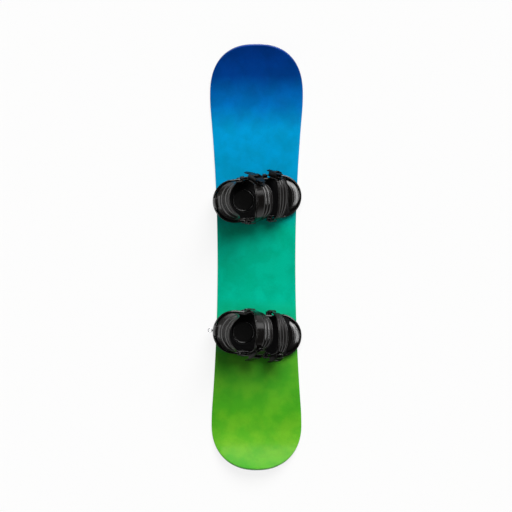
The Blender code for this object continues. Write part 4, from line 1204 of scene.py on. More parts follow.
    def build_gel(self) -> None:
        """The gel pad in the heel dish: a low cushion inside a round bead, turned about the dish."""
        rim = np.array([
            [0.0, 12.5], [8.0, 12.52], [16.0, 12.65], [23.0, 12.9], [28.0, 13.3], [30.0, 13.4],
            [30.8, 13.2], [31.3, 13.5], [31.9, 14.5], [32.8, 15.3], [33.8, 15.6], [34.8, 15.3],
            [35.6, 14.5], [35.9, 13.6], [35.6, 12.8], [34.8, 12.2], [33.0, 12.05], [0.0, 12.05]]) * MM
        circle = on_circle(full_turn(72))[:, None]
        flat = circle * rim[:, :1] + (self.dish_centre, 0.0)
        grid = np.concatenate([flat, np.broadcast_to(rim[:, 1:], (*flat.shape[:2], 1))], -1)
        gel = surface(self.name("heel_gel"), self.world(grid), Ends.JOINED, 50.0, poles=True)
        dress(gel, HEEL_GEL, "board")

    def build_ramp(self) -> None:
        """The toe ramp: rows along the foot from its straight edge to the toe's arc, with ribs across.

        Height rises evenly towards the toe, and from the nose's start it falls ever more steeply
        to the arc. The ribs are rounded waves, full next to the footbed and a tenth of their
        height on the fall.
        """
        radius = self.toe_radius - self.wall - self.footbed_gap
        half = math.sqrt(radius ** 2 - (self.ramp_start - self.toe_centre) ** 2)
        v = half * np.sin(np.linspace(-1.0, 1.0, 61) * math.pi / 2)[:, None] * 0.999
        arc = self.toe_centre + np.sqrt(radius ** 2 - v ** 2)
        u = self.ramp_start + (arc - self.ramp_start) * smoothstep(np.linspace(0.0, 1.0, 61))[None]
        slope = self.ramp_rise / (self.toe_centre + radius - self.ramp_start)
        border = np.minimum(np.minimum(u - self.ramp_start, (arc - u) * 2), half - np.abs(v))
        full = smoothstep((arc - u - self.ramp_nose + 2 * MM) / (4 * MM))
        wave = 0.5 + 0.5 * np.cos(2 * math.pi * (arc - u) / self.rib_pitch)
        top = self.ramp_low - 0.7 * MM + (u - self.ramp_start) * slope
        top += self.rib_height * wave * smoothstep(border / (3.0 * MM)) * (0.1 + 0.9 * full)
        top -= 1.1 * MM * (1 - smoothstep(border / (1.2 * MM)))
        top -= self.ramp_fall * np.clip(1 - (arc - u) / self.ramp_nose, 0.0, 1.0) ** 1.25
        rows = np.stack([u, np.broadcast_to(v, u.shape), top], -1)
        under = rows[:, ::-1].copy()
        under[..., 2] = self.floor + self.seat
        cap = surface(self.name("toe_ramp_cap"), self.world(np.concatenate([rows, under], 1)))
        dress(cap, RAMP_NYLON, "board", self.name("toe_ramp"))

    def hoop_line(self, arm_steps: int = 30, bend_steps: int = 47) -> tuple[Array, Array, Array]:
        """The line that the hoop's section is carried along: an arm, the heel's half circle, an arm.

        Args:
            arm_steps: places on each arm.
            bend_steps: places on the half circle.

        Returns:
            (n, 3) places of its centre, (n, 3) outward directions and (n,) heights of its top.
        """
        straight = self.hoop_end - self.heel_centre
        arm = self.hoop_end - straight * np.linspace(0.0, 1.0, arm_steps)
        rise = smoothstep((self.hoop_end - 12 * MM - arm) / (straight * 0.55))
        side = self.hoop_front + (self.hoop_back - self.hoop_front) * rise
        top = np.concatenate([side, np.full(bend_steps, self.hoop_back), side[::-1]])
        path = np.zeros((len(top), 3))
        path[:, 0] = np.concatenate([arm, np.full(bend_steps, self.heel_centre), arm[::-1]])
        bend = on_circle(np.linspace(0.5 * math.pi, 1.5 * math.pi, bend_steps + 2)[1:-1])
        outward = np.zeros_like(path)
        outward[:arm_steps, 1], outward[-arm_steps:, 1] = 1.0, -1.0
        outward[arm_steps:-arm_steps, :2] = bend
        return path, outward, top

    def build_hoop(self) -> None:
        """The heel hoop: a band with a bevelled lip and a long channel, carried round the heel.

        Its top edge eases from the front height to the back height along each arm, and both ends
        are rounded by drawing the last rows in. Each corner of its section has a reach, a share
        of the height and, at the channel, the depth by which it is sunk.
        """
        path, outward, top = self.hoop_line()
        inner, outer = self.hoop_radius - self.hoop_wall, self.hoop_radius
        height = (top - self.hoop_bottom)[:, None]
        ends = np.minimum(np.arange(len(top)), np.arange(len(top))[::-1])
        depth = self.channel_depth * smoothstep((ends - 4) / 8.0)[:, None]
        sunk = np.array([0, 0, 0, 1, 1, 0, 0, 0, 0])
        share = np.array([0.0, 0.0, 0.30, 0.36, 0.64, 0.70, 1.0, 1.0, 1.0])
        reach = np.array([inner, *[outer] * 6, outer - 2.8 * MM, inner])
        corners = np.stack([reach - depth * sunk, self.hoop_bottom + height * share], -1)
        corners[:, 6, 1] -= self.lip_bevel
        profile = rounded(corners, np.array([1.2, 1.6, 1.0, 1.0, 1.0, 1.0, 0.8, 1.0, 1.0]) * MM, 3)
        middle = np.insert(self.hoop_bottom + height / 2, 0, (inner + outer) / 2, axis=1)[:, None]
        drawn = np.array([0.80, 0.95, 1.0])[np.minimum(ends, 2)][:, None, None]
        grid = swept(path, outward, UP, middle + (profile - middle) * drawn)
        dress(surface(self.name("heel_loop"), self.world(grid)), GLOSS_NYLON, "board", self.name("heel_hoop"))
        if self.prefix == "rear":
            self.build_leash_mount()

    def build_leash_mount(self) -> None:
        """The leash lug, an oblong plate round its bore, and the ring through it."""
        centre = np.array([self.heel_centre - self.hoop_radius - 2.2 * MM, self.side * 2 * MM, 32 * MM])
        circle = on_circle(full_turn(48))
        reach = (circle * (3.0, 3.6) + (0.3, 0.0)) * MM
        reach[:, 0] = np.maximum(reach[:, 0], -2.8 * MM)
        bore = circle * 1.8 * MM
        across = np.array([-1.6, -1.6, -1.2, 1.2, 1.6, 1.6]) * MM
        share = np.array([0.0, 0.85, 1.0, 1.0, 0.85, 0.0])
        plane = bore[:, None] + (reach - bore)[:, None] * share[None, :, None]
        grid = np.insert(plane, 1, across, axis=2)
        dress(surface(self.name("leash_lug"), self.world(grid + centre), Ends.JOINED), GLOSS_NYLON, "board")
        ring, wire = 6.5 * MM, 1.1 * MM
        out = np.insert(on_circle(full_turn(64)), 2, 0.0, axis=1)
        profile = on_circle(full_turn(14)) * wire + (ring, 0.0)
        middle = np.broadcast_to(centre - (ring, 0.0, 0.0), out.shape)
        loop = surface(self.name("leash_loop"), self.world(swept(middle, out, UP, profile)), Ends.JOINED)
        dress(loop, BRIGHT_STEEL, self.name("leash_ring"), self.name("leash_ring"))

    def shell_point(self, s: Array, w: Array, out: Array) -> Array:
        """Places on the highback.

        The shell is a half cylinder about the heel's centre, up to the hinge's height. Above it
        the centre moves towards the toe by the lean, and the radius shrinks evenly to the top's.
        Past the quarter circle on each side it runs on straight towards the toe.

        Args:
            s: place along its curve.
            w: height.
            out: distance outwards from its middle surface.

        Returns:
            (..., 3) places in the binding's frame.
        """
        rise = np.maximum(w - self.hinge_w, 0.0)
        shrink = rise / (self.back_top - self.hinge_w)
        radius = self.back_radius + (self.back_top_radius - self.back_radius) * shrink
        centre = self.heel_centre + rise * math.tan(self.back_lean)
        turn = np.clip(s / radius, -math.pi / 2, math.pi / 2)
        beyond = np.maximum(np.abs(s) - radius * math.pi / 2, 0.0)
        return np.stack([
            centre + beyond - (radius + out) * np.cos(turn), (radius + out) * np.sin(turn),
            np.broadcast_to(w, turn.shape)], -1)

    def back_columns(self) -> tuple[Array, Array, Array]:
        """Columns of the highback.

        The upright panel's edge is a superellipse. From its foot two wings ease down to the
        bolts' height and end in half circles about them.

        Returns:
            (n,) place along the curve, low edge and high edge of each column.
        """
        turn = np.linspace(0.0, 0.958 * math.pi / 2, 40)
        power = 2 / self.back_squareness
        panel = self.back_half * np.sin(turn) ** power
        crown = self.back_shoulder + (self.back_top - self.back_shoulder) * np.cos(turn) ** power
        hinge = self.back_radius * math.pi / 2 + self.hinge_u - self.heel_centre
        wing = np.linspace(0.0, 1.0, 16)[1:]
        fall = smoothstep(wing)
        wing_high = self.back_shoulder + (self.hinge_w + self.wing - self.back_shoulder) * fall
        wing_high += (crown[-1] - self.back_shoulder) * (1 - smoothstep(wing / 0.3))
        wing_low = self.back_low + (self.hinge_w - self.wing - self.back_low) * fall
        end = self.wing * on_circle(np.linspace(0.0, 0.97, 9)[1:] * math.pi / 2)
        s = np.concatenate([panel, panel[-1] + (hinge - panel[-1]) * wing, hinge + end[:, 1]])
        low = np.concatenate([np.full(len(turn), self.back_low), wing_low, self.hinge_w - end[:, 0]])
        high = np.concatenate([crown, wing_high, self.hinge_w + end[:, 0]])
        return (np.concatenate([-s[:0:-1], s]), np.concatenate([low[:0:-1], low]),
                np.concatenate([high[:0:-1], high]))

    def back_relief(self, s: Array, w: Array, level: Array, high: Array) -> Array:
        """Depth of the ledges on the back, cut like the boards of an upturned clinker hull.

        On the way up, at every pitch the surface steps in and then slants out to its full place
        again. Two plain belts, the slide of the lean block and a border stay at the full place.

        Args:
            s: place along the curve.
            w: height.
            level: height before the ledges' bend, which counts them.
            high: height of the top edge.

        Returns:
            Depths, in the shape of w.
        """
        phase = (level - self.ledge_start) / self.ledge_pitch % 1.0
        cut = np.interp(phase, [0.0, 0.1, 1.0], [0.0, 1.0, 0.0])
        ratio = np.clip((w - self.back_shoulder) / (self.back_top - self.back_shoulder), 0.0, 0.999)
        edge = self.back_half * (1 - ratio ** self.back_squareness) ** (1 / self.back_squareness)
        beside = smoothstep((np.abs(s) - self.slide_half) / (3 * MM))
        above = smoothstep((w - self.slide_top) / (5 * MM))
        slide = 1 - (1 - beside) * (1 - above)
        lower, upper = self.belts
        belts = 1 - bump((level - lower) / (9 * MM)) - bump((level - upper) / (8 * MM))
        field = (smoothstep((high - w - 4.5 * MM) / (3 * MM)) * smoothstep((w - 82 * MM) / (4 * MM))
                 * smoothstep((edge - np.abs(s) - 5 * MM) / (3 * MM)) * slide * belts)
        return self.ledge_depth * cut * field

    def build_highback(self) -> None:
        """The highback: a column goes up its back, over a round edge, down its inside and under.

        Rows follow the ledges, which drop towards the sides by their bend times the square of
        the place's share of the half width. Past the top edge they gather on it.
        """
        s, low, high = (part[:, None] for part in self.back_columns())
        thick = np.minimum(self.back_wall / 2, (high - low) * 0.48)
        ledges = self.ledge_start + self.ledge_pitch * np.arange(20)
        level = np.concatenate([
            np.linspace(self.hinge_w - self.wing, self.ledge_start - 2 * MM, 14),
            (ledges[:, None] + self.ledge_pitch * np.array([0.0, 0.1, 0.4, 0.7, 0.97])).ravel()])
        w = np.clip(level - self.ledge_bend * (s / self.back_half) ** 2, low + thick, high - thick)
        relief = self.back_relief(s, w, level, high)
        edge = on_circle(np.linspace(0.0, math.pi, 7)[1:-1])
        top = high - thick + thick * edge[:, 1]
        bottom = low + thick - thick * edge[:, 1]
        rounding = thick * edge[:, 0]
        out = np.concatenate([
            thick - relief, rounding, np.broadcast_to(-thick, w.shape), -rounding], 1)
        height = np.concatenate([w, top, w[:, ::-1], bottom], 1)
        grid = self.shell_point(np.broadcast_to(s, out.shape), height, out)
        body = self.name("highback")
        dress(surface(self.name("highback_shell"), self.world(grid)), SHELL_NYLON, body, body)
        self.build_liner(body)
        block = softened_copy(self.name("lean_block"), self.name("lean_stop"), 0.7 * MM)
        dress(block, SATIN_NYLON, self.name("lean_block"), self.name("lean_block"))

    def build_liner(self, body: str) -> None:
        """The foam liner inside the highback: a thin pad whose border follows the panel's edge.

        Its outline is the panel's, drawn in, and its thickness rises over 5 mm from the border
        as a quarter circle does. The channels across it are pressed in, and they drop towards
        the sides by 1.6 per metre times the square of the place.

        Args:
            body: the body that it rides on.
        """
        half, low = self.back_half - self.liner_inset, self.liner_low
        crown = self.back_top - self.liner_drop
        turn = np.linspace(-1.0, 1.0, 61) * 0.97 * math.pi / 2
        power = 2 / self.back_squareness
        s = (half * np.sign(turn) * np.abs(np.sin(turn)) ** power)[:, None]
        high = (low + 12 * MM + (crown - low - 12 * MM) * np.cos(turn) ** power)[:, None]
        w = low + (high - low) * (1 - np.cos(np.linspace(0.0, math.pi, 61))) / 2
        border = np.minimum(np.minimum(w - low, high - w), half - np.abs(s))
        near = np.clip(border / (5 * MM), 0.0, 1.0)
        swell = np.sqrt(near * (2 - near))
        channels = sum(bump((w - at + 1.6 * s ** 2) / (3.2 * MM)) for at in self.liner_channels)
        inner = -self.back_wall / 2 - 0.2 * MM - (self.liner_thick - 1.2 * MM * channels) * swell
        outer = np.full_like(w, -self.back_wall / 2 - 0.1 * MM)
        across = np.broadcast_to(s, w.shape)
        places = np.concatenate([
            self.shell_point(across, w, inner), self.shell_point(across, w, outer)[:, ::-1]], 1)
        liner = surface(self.name("highback_liner"), self.world(places))
        dress(liner, STRAP_CLOTH, body)

    def build_bolt(self, label: str, sign: int, place: Pair, inner: float, outer: float) -> None:
        """A bolt across one side wall: hexagon nut inside, domed head with a socket outside.

        Args:
            label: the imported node's name without the prefix.
            sign: +1 on the outer side of the foot, -1 on the inner side.
            place: (u, w) of the axis.
            inner: where the nut bears, from the middle of the foot.
            outer: where the head bears.
        """
        nut = np.array([[-2.2, 0.0], [-2.2, 4.6], [-1.9, 5.4], [0.0, 5.4], [0.0, 3.8]]) * MM
        head = np.array([
            [0.0, 3.8], [0.0, 6.7], [0.4, 7.0], [1.6, 7.0], [2.6, 6.6], [3.2, 5.8], [3.4, 4.8],
            [3.4, 3.2], [3.1, 2.7], [1.3, 2.6], [1.0, 0.0]]) * MM
        rings = np.concatenate([nut + (inner - self.seat, 0.0), head + (outer + self.seat, 0.0)])
        flats = np.zeros(len(rings), bool)
        flats[[2, 3, -3, -2]] = True  # the nut's sides and the socket's
        rings[:, 0] *= sign * self.side
        grid = turned((place[0], 0.0, place[1]), ACROSS, rings, 36, flats)
        bolt = surface(self.name(f"{label}_screw"), self.world(grid), Ends.OPEN, 32.0)
        dress(bolt, BOLT_STEEL, "board", self.name(label))

    def build_bolts(self) -> None:
        """All bolts of the binding: hoop, highback and both straps, outside and inside."""
        plate = self.hoop_radius + self.seat + 4.0 * MM
        wall = self.half_width - self.wall
        taper = (self.back_radius - self.back_top_radius) * 6.5 * MM / (self.back_top - self.hinge_w)
        bearings = {
            "hoop_bolt": ((-11.0 * MM, 24.0 * MM), wall, self.hoop_radius),
            "highback_bolt": ((self.hinge_u, self.hinge_w), self.half_width - self.back_wall - taper,
                              self.hoop_radius),
            "ankle_bolt": ((-42.0 * MM, 28.0 * MM), wall, plate),
            "toe_bolt": (self.toe_bolt, wall, plate),
        }
        for label, bearing in bearings.items():
            for sign, where in ((1, "outer"), (-1, "inner")):
                self.build_bolt(f"{label}_{where}", sign, *bearing)

    def build(self) -> None:
        """Makes and dresses the whole binding without its straps."""
        self.build_tray()
        self.build_footbed()
        self.build_ramp()
        self.build_hoop()
        self.build_highback()
        self.build_bolts()
        paint(self.name("disc"), SATIN_NYLON)


# Straps


@dataclass
class Strap:
    """One strap with its ladder, buckle and two levers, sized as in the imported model.

    Its own frame leans about the bolt's axis: p runs across the strap, v out of the side wall
    and q up along the strap's root. Angles are about the pad's hinge.
    """

    binding: Binding
    kind: str
    bolt: Pair          # (u, w) of its bolts
    lean: float         # from upright towards the toe
    root: float         # radius of its root round a bolt
    hinge_q: float
    ladder_half: float  # half the ladder's width
    ladder_end: float   # angle at which the ladder ends
    pad_start: float    # angle at which the pad starts
    leave: float        # angle at which it leaves the ladder's circle
    pad_half: float     # half its width where it is plain
    front: float        # reach of its widest place before and behind the line
    rear: float
    handles: Pair       # of the curve over the foot
    join: Pair          # from the hinge to where that curve ends
    pin: float          # angle of the lever's pin
    lever: float        # length of the lever's arm
    release: float      # length of the release tab's arm

    hinge_v: float = -75.6 * MM
    plate: float = 70.3 * MM
    strip: float = 4.0 * MM
    tooth: float = 3.2 * MM       # from tooth to tooth
    tooth_depth: float = 1.3 * MM
    ladder_tip: float = 7.0 * MM  # length over which its free end is drawn in
    pad_reach: float = 139.3 * MM
    pin_reach: float = 158.4 * MM
    release_reach: float = 155.5 * MM
    knuckle: float = 5.0 * MM
    knuckle_half: float = 7.7 * MM
    knuckle_bore: float = 2.4 * MM
    pad_thick: float = 7.0 * MM
    piping: float = 1.6 * MM      # radius of the pad's bound border
    pin_bore: float = 1.9 * MM
    ribs: float = 2.9             # ribs on half of the pad's width
    plain: float = -0.05          # share of the half width at which the ribs start

    def name(self, label: str) -> str:
        """The label with the binding's prefix and the strap's kind."""
        return f"{self.binding.prefix}_{self.kind}_{label}"

    def world(self, p: Array, v: Array, q: Array) -> Array:
        """Leans places about the bolt and mirrors them to the binding's outer side.

        Args:
            p: places across the strap.
            v: places outwards.
            q: places up along the root.

        Returns:
            (..., 3) places in the world frame.
        """
        p, v, q = np.broadcast_arrays(p, v, q)
        cosine, sine = math.cos(self.lean), math.sin(self.lean)
        return self.binding.world(np.stack([
            self.bolt[0] + cosine * p + sine * q, self.binding.side * v,
            self.bolt[1] - sine * p + cosine * q], -1))

    def at(self, reach: Array, angle: Array, p: Array) -> Array:
        """Places at a reach and an angle about the pad's hinge."""
        return self.world(p, self.hinge_v + reach * np.cos(angle), self.hinge_q + reach * np.sin(angle))

    def ladder_way(self, total: float) -> tuple[Array, Array]:
        """Stations along the ladder and how deep its teeth are cut there.

        A tooth rises over 12 per cent of its pitch, and falls over the last 66.

        Args:
            total: the ladder's length above the bolt.

        Returns:
            (n,) places along it, below zero on the round end, and (n,) depths.
        """
        below = -self.root * np.cos(np.linspace(0.08, 1.0, 12) * math.pi / 2)
        start = self.root + 3.0 * MM
        teeth = int((total - self.ladder_tip - 1 * MM - start) / self.tooth)
        places = start + self.tooth * (np.arange(teeth)[:, None] + np.array([0.0, 0.12, 0.34, 0.97]))
        last = total - self.ladder_tip * (1 - np.sin(np.linspace(0.0, 0.97, 8) * math.pi / 2))
        way = np.concatenate([below, np.linspace(0.8 * MM, start - 0.2 * MM, 8), places.ravel(),
                              last[last > places.max() + 0.3 * MM]])
        phase = (way - start) / self.tooth % 1.0
        depth = self.tooth_depth * np.interp(phase, [0.0, 0.12, 0.34, 1.0], [1.0, 0.0, 0.0, 1.0])
        return way, np.where((way < start - 1e-9) | (way > places.max()), 0.0, depth)

    def build_ladder(self) -> None:
        """The toothed strip: up from its round end at the bolt, then along a circle over the foot.

        The teeth lie between two rails that stay at full thickness. Its half width is the root's
        circle below the bolt and eases to the strip's above it. The free end is drawn in as a
        half ellipse.
        """
        reach = self.plate - self.hinge_v
        straight, total = self.hinge_q, self.hinge_q + reach * self.ladder_end
        way, depth = self.ladder_way(total)
        half = self.root + (self.ladder_half - self.root) * smoothstep(way / straight)
        half = np.where(way < 0, np.sqrt(np.maximum(self.root ** 2 - way ** 2, 1e-8)), half)
        into = np.clip((way - (total - self.ladder_tip)) / self.ladder_tip, 0.0, 1.0)
        half = half * np.sqrt(np.maximum(1 - 0.75 * into ** 2, 0.02))
        turn = np.maximum(way - straight, 0.0) / reach
        rail = half - np.minimum(2.4 * MM, half * 0.3)
        full = np.full_like(way, self.strip)
        right = np.stack([np.stack([half, half, rail, rail - 0.5 * MM], -1),
                          np.stack([np.zeros_like(way), full, full, full - depth], -1)], -1)
        profile = rounded(mirrored(right), np.array([0.5, 0.5, 0.9, 0.25, 0.2, 0.2, 0.25, 0.9]) * MM, 2)
        out = reach + profile[..., 1]
        v = self.hinge_v + out * np.cos(turn)[:, None]
        q = np.minimum(way, straight)[:, None] + out * np.sin(turn)[:, None]
        strip = surface(self.name("ladder_strip"), self.world(profile[..., 0], v, q))
        dress(strip, SATIN_NYLON, self.name("loop"), self.name("ladder"))

    def pad_line(self) -> tuple[Array, Array, Array]:
        """The pad's middle line.

        It follows the ladder about the hinge, goes over the foot on a Bezier curve and runs down
        into the hinge's knuckle. Its headings are smoothed over five places.

        Returns:
            (n, 2) places (v, q), (n,) lengths along the line and (n, 2) outward normals.
        """
        hinge = np.array([self.hinge_v, self.hinge_q])
        along = hinge + self.pad_reach * on_circle(np.linspace(self.pad_start, self.leave, 32))
        heading = np.array([-math.sin(self.leave), math.cos(self.leave)])
        join = hinge + self.join
        over = bezier(along[-1], along[-1] + heading * self.handles[0],
                      join + (0.0, self.handles[1]), join, 64)[1:]
        share = np.linspace(0.0, 1.0, 10)[1:, None]
        down = join + (hinge + (0.0, self.knuckle * 0.6) - join) * share
        line = np.concatenate([along, over, down])
        step = np.linalg.norm(np.diff(line, axis=0), axis=1)
        length = np.concatenate([[0.0], np.cumsum(step)])
        even = np.linspace(0.0, length[-1], 150)
        line = np.stack([np.interp(even, length, line[:, 0]), np.interp(even, length, line[:, 1])], -1)
        run = np.gradient(line, axis=0)
        kernel = np.ones(5) / 5
        run[2:-2] = np.stack([np.convolve(run[:, k], kernel, "valid") for k in (0, 1)], -1)
        run /= np.linalg.norm(run, axis=1, keepdims=True)
        return line, even, np.stack([run[:, 1], -run[:, 0]], -1)

    def pad_widths(self, length: Array) -> tuple[Array, Array, Array]:
        """How wide and thick the pad is: full over the foot, narrow at its knuckle and at its end.

        Args:
            length: (n,) lengths along its line.

        Returns:
            (n, 1) reach before the line, reach behind it and half thickness.
        """
        total = length[-1]
        share = length / total
        swell = smoothstep((share - 0.12) / 0.24) * smoothstep((0.86 - share) / 0.26)
        neck = smoothstep((total - length - self.knuckle) / (15 * MM))
        base = self.knuckle_half + (self.pad_half - self.knuckle_half) * neck
        end = np.clip(1 - length / (9 * MM), 0.0, 1.0)
        drawn = np.sqrt(np.maximum(1 - 0.86 * end ** 2, 0.0))
        front = (base + (self.front - self.pad_half) * swell) * drawn
        rear = (base + (self.rear - self.pad_half) * swell) * drawn
        half = self.pad_thick / 2 * (1 - 0.25 * (1 - neck)) * (1 - 0.5 * end ** 3)
        return front[:, None], rear[:, None], half[:, None]

    def build_pad(self) -> None:
        """The padded strap: a soft slab with rounded ribs along it and a bound border.

        Across the strap the border's piping is a quarter circle, then there is a groove, and the
        panel between the grooves is crowned. The ribs are a cosine of the share of the width,
        so that they spread where the strap is wide. They start at a given share, behind which
        the panel is plain, and they fade towards both ends.
        """
        line, length, normal = self.pad_line()
        front, rear, half = self.pad_widths(length)
        cross = np.linspace(-1.0, 1.0, 61)
        cross = np.sign(cross) * (1 - (1 - np.abs(cross)) ** 1.35)
        reach = np.where(cross < 0, rear, front)
        p = cross * reach
        border = reach - np.abs(p)
        share = (length / length[-1])[:, None]
        fade = smoothstep((share - 0.05) / 0.06) * smoothstep((0.9 - share) / 0.08)
        bead = 0.82 * np.sqrt(1 - np.clip(1 - border / self.piping, 0.0, 1.0) ** 2)
        groove = bump((border - 2 * self.piping - 0.5 * MM) / (1.3 * MM))
        inside = smoothstep((border - 2 * self.piping) / (4.0 * MM))
        waves = 1 + np.cos(2 * math.pi * self.ribs * np.maximum(cross - self.plain, 0.0))
        outer = half * (bead - 0.42 * groove * fade + 0.20 * inside)
        outer += (0.75 * MM * waves - 1.3 * MM) * inside * fade
        inner = -half * (bead + 0.16 * inside)
        offset = np.concatenate([np.minimum(outer, half), inner[:, ::-1]], 1)
        across = np.concatenate([p, p[:, ::-1]], 1)
        v = line[:, :1] + normal[:, :1] * offset
        q = line[:, 1:] + normal[:, 1:] * offset
        pad = surface(self.name("pad_shell"), self.world(across, v, q), sharp=60.0)
        dress(pad, STRAP_RUBBER, self.name("strap"), self.name("pad"))
        self.build_tube("pad_knuckle", (self.hinge_v, self.hinge_q), self.knuckle_half,
                        self.knuckle_bore, self.knuckle, self.name("strap"))

    def build_tube(self, label: str, centre: Pair, half: float, bore: float, radius: float,
                   body: str) -> None:
        """A tube about an axis across the strap, with bevelled ends.

        Args:
            label: the piece's name without its prefixes.
            centre: (v, q) of the axis.
            half: half its length.
            bore: radius of its bore.
            radius: its outer radius.
            body: the body that it rides on.
        """
        bevel = 0.6 * MM
        rings = np.array([[-half, bore], [-half, radius - bevel], [bevel - half, radius],
                          [half - bevel, radius], [half, radius - bevel], [half, bore]])
        circle = on_circle(full_turn(40))[:, None] * rings[:, 1:] + centre
        grid = self.world(rings[:, 0], circle[..., 0], circle[..., 1])
        dress(surface(self.name(label), grid, Ends.JOINED), GLOSS_NYLON, body)

    def build_lever(self, label: str, reach: float, angle: float, radius: float, length: float,
                    heading: int, flare: float) -> None:
        """A lever: a barrel on its pin, and a crowned arm that lifts away from the ladder.

        The arm's low side is at reach + flare * share squared, sunk a little into the barrel.
        Its end is drawn in as an ellipse.
        A long one's outer side has a shallow dish for the finger and grip lines near the end.

        Args:
            label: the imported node's name without its prefixes.
            reach: the pin's reach about the hinge.
            angle: the pin's angle.
            radius: the barrel's radius.
            length: the arm's length along the ladder.
            heading: -1 towards the bolt, +1 over the foot.
            flare: how far the end lifts.
        """
        half = self.ladder_half
        centre = (self.hinge_v + reach * math.cos(angle), self.hinge_q + reach * math.sin(angle))
        self.build_tube(f"{label}_barrel", centre, half, self.pin_bore, radius, self.name(label))
        tip = 1 - 0.1 * np.cos(np.linspace(0.06, 1, 12) * math.pi / 2)
        share = np.concatenate([np.linspace(0.0, 0.9, 60), tip])
        here = angle + heading * length * share / reach
        low = reach + flare * share ** 2 - 0.18 * radius
        thick = (0.98 - 0.24 * share) * radius
        into = np.clip((share - 0.9) / 0.1, 0.0, 1.0)
        width = half * (1 - 0.16 * smoothstep((share - 0.55) / 0.45)) * np.sqrt(1 - 0.8 * into ** 2)
        lines = 0.5 - 0.5 * np.cos(2 * math.pi * share * length / (2.6 * MM))
        grip = 0.14 * lines * smoothstep((share - 0.62) / 0.05) * smoothstep((0.9 - share) / 0.05)
        dish = 0.22 * bump((share - 0.34) / 0.26)
        crown = 1 - (dish + grip) * (length > 30 * MM)
        right = np.stack([np.stack([width, width, 0.80 * width, 0.66 * width], -1),
                          np.stack([0 * thick, 0.62 * thick, 0.96 * thick, crown * thick], -1)], -1)
        profile = rounded(mirrored(right), np.array([0.4, 0.4, 0.8, 0.9, 0.6, 0.6, 0.9, 0.8]) * MM, 3)
        arm = self.at(low[:, None] + profile[..., 1], here[:, None], profile[..., 0])
        dress(surface(self.name(f"{label}_arm"), arm), BUCKLE_NYLON, self.name(label), self.name(label))

    def build(self) -> None:
        """Makes and dresses the strap."""
        self.build_ladder()
        self.build_pad()
        root = softened_copy(self.name("strap_root"), self.name("root_bracket"), 0.8 * MM)
        dress(root, SATIN_NYLON, self.name("loop"), self.name("strap_root"))
        frame = softened_copy(self.name("buckle"), self.name("buckle_frame"), 0.6 * MM)
        dress(frame, BUCKLE_NYLON, self.name("strap"), self.name("buckle"))
        self.build_lever("lever", self.pin_reach, self.pin, 4.2 * MM, self.lever, -1, 5.0 * MM)
        self.build_lever("release", self.release_reach, self.leave - 2.0 * DEG, 3.2 * MM,
                         self.release, 1, 3.0 * MM)


def ankle_strap(binding: Binding) -> Strap:
    """The wide strap over the ankle.

    Args:
        binding: the binding that it closes.

    Returns:
        The strap.
    """
    return Strap(
        binding, "ankle", bolt=(-42 * MM, 28 * MM), lean=31 * DEG, root=13 * MM, hinge_q=30 * MM,
        ladder_half=12 * MM, ladder_end=37 * DEG, pad_start=12.5 * DEG, leave=31 * DEG,
        pad_half=15 * MM, front=33 * MM, rear=30 * MM, handles=(46 * MM, 58 * MM),
        join=(5.6 * MM, 30 * MM), pin=20.5 * DEG, lever=56 * MM, release=26 * MM)


def toe_strap(binding: Binding) -> Strap:
    """The narrow strap over the toes.

    Args:
        binding: the binding that it closes.

    Returns:
        The strap.
    """
    return Strap(
        binding, "toe", bolt=binding.toe_bolt, lean=40 * DEG, root=11 * MM, hinge_q=15 * MM,
        ladder_half=9.5 * MM, ladder_end=26 * DEG, pad_start=7.5 * DEG, leave=21.5 * DEG,
        pad_half=12.5 * MM, front=21 * MM, rear=20 * MM, handles=(34 * MM, 42 * MM),
        join=(4.6 * MM, 17 * MM), pin=14 * DEG, lever=34 * MM, release=17 * MM, ribs=1.7, plain=-0.75)


# Stage


@dataclass(frozen=True)
class SoftPanel:
    """A lamp that faces the board's middle and shows in reflections only."""

    name: str
    place: Triple
    length: float  # of the side that lies level
    width: float
    power: float   # watts

    def build(self) -> None:
        """Makes the lamp and hands it to the stage."""
        data = bpy.data.lights.new(self.name, "AREA")
        data.shape = "RECTANGLE"
        data.size, data.size_y = self.length, self.width
        data.energy = self.power
        lamp = linked(bpy.data.objects.new(self.name, data))
        lamp.location = self.place
        lamp.rotation_euler = Vector(self.place).to_track_quat("Z", "Y").to_euler()
        lamp.visible_camera = False
        lamp.visible_diffuse = False


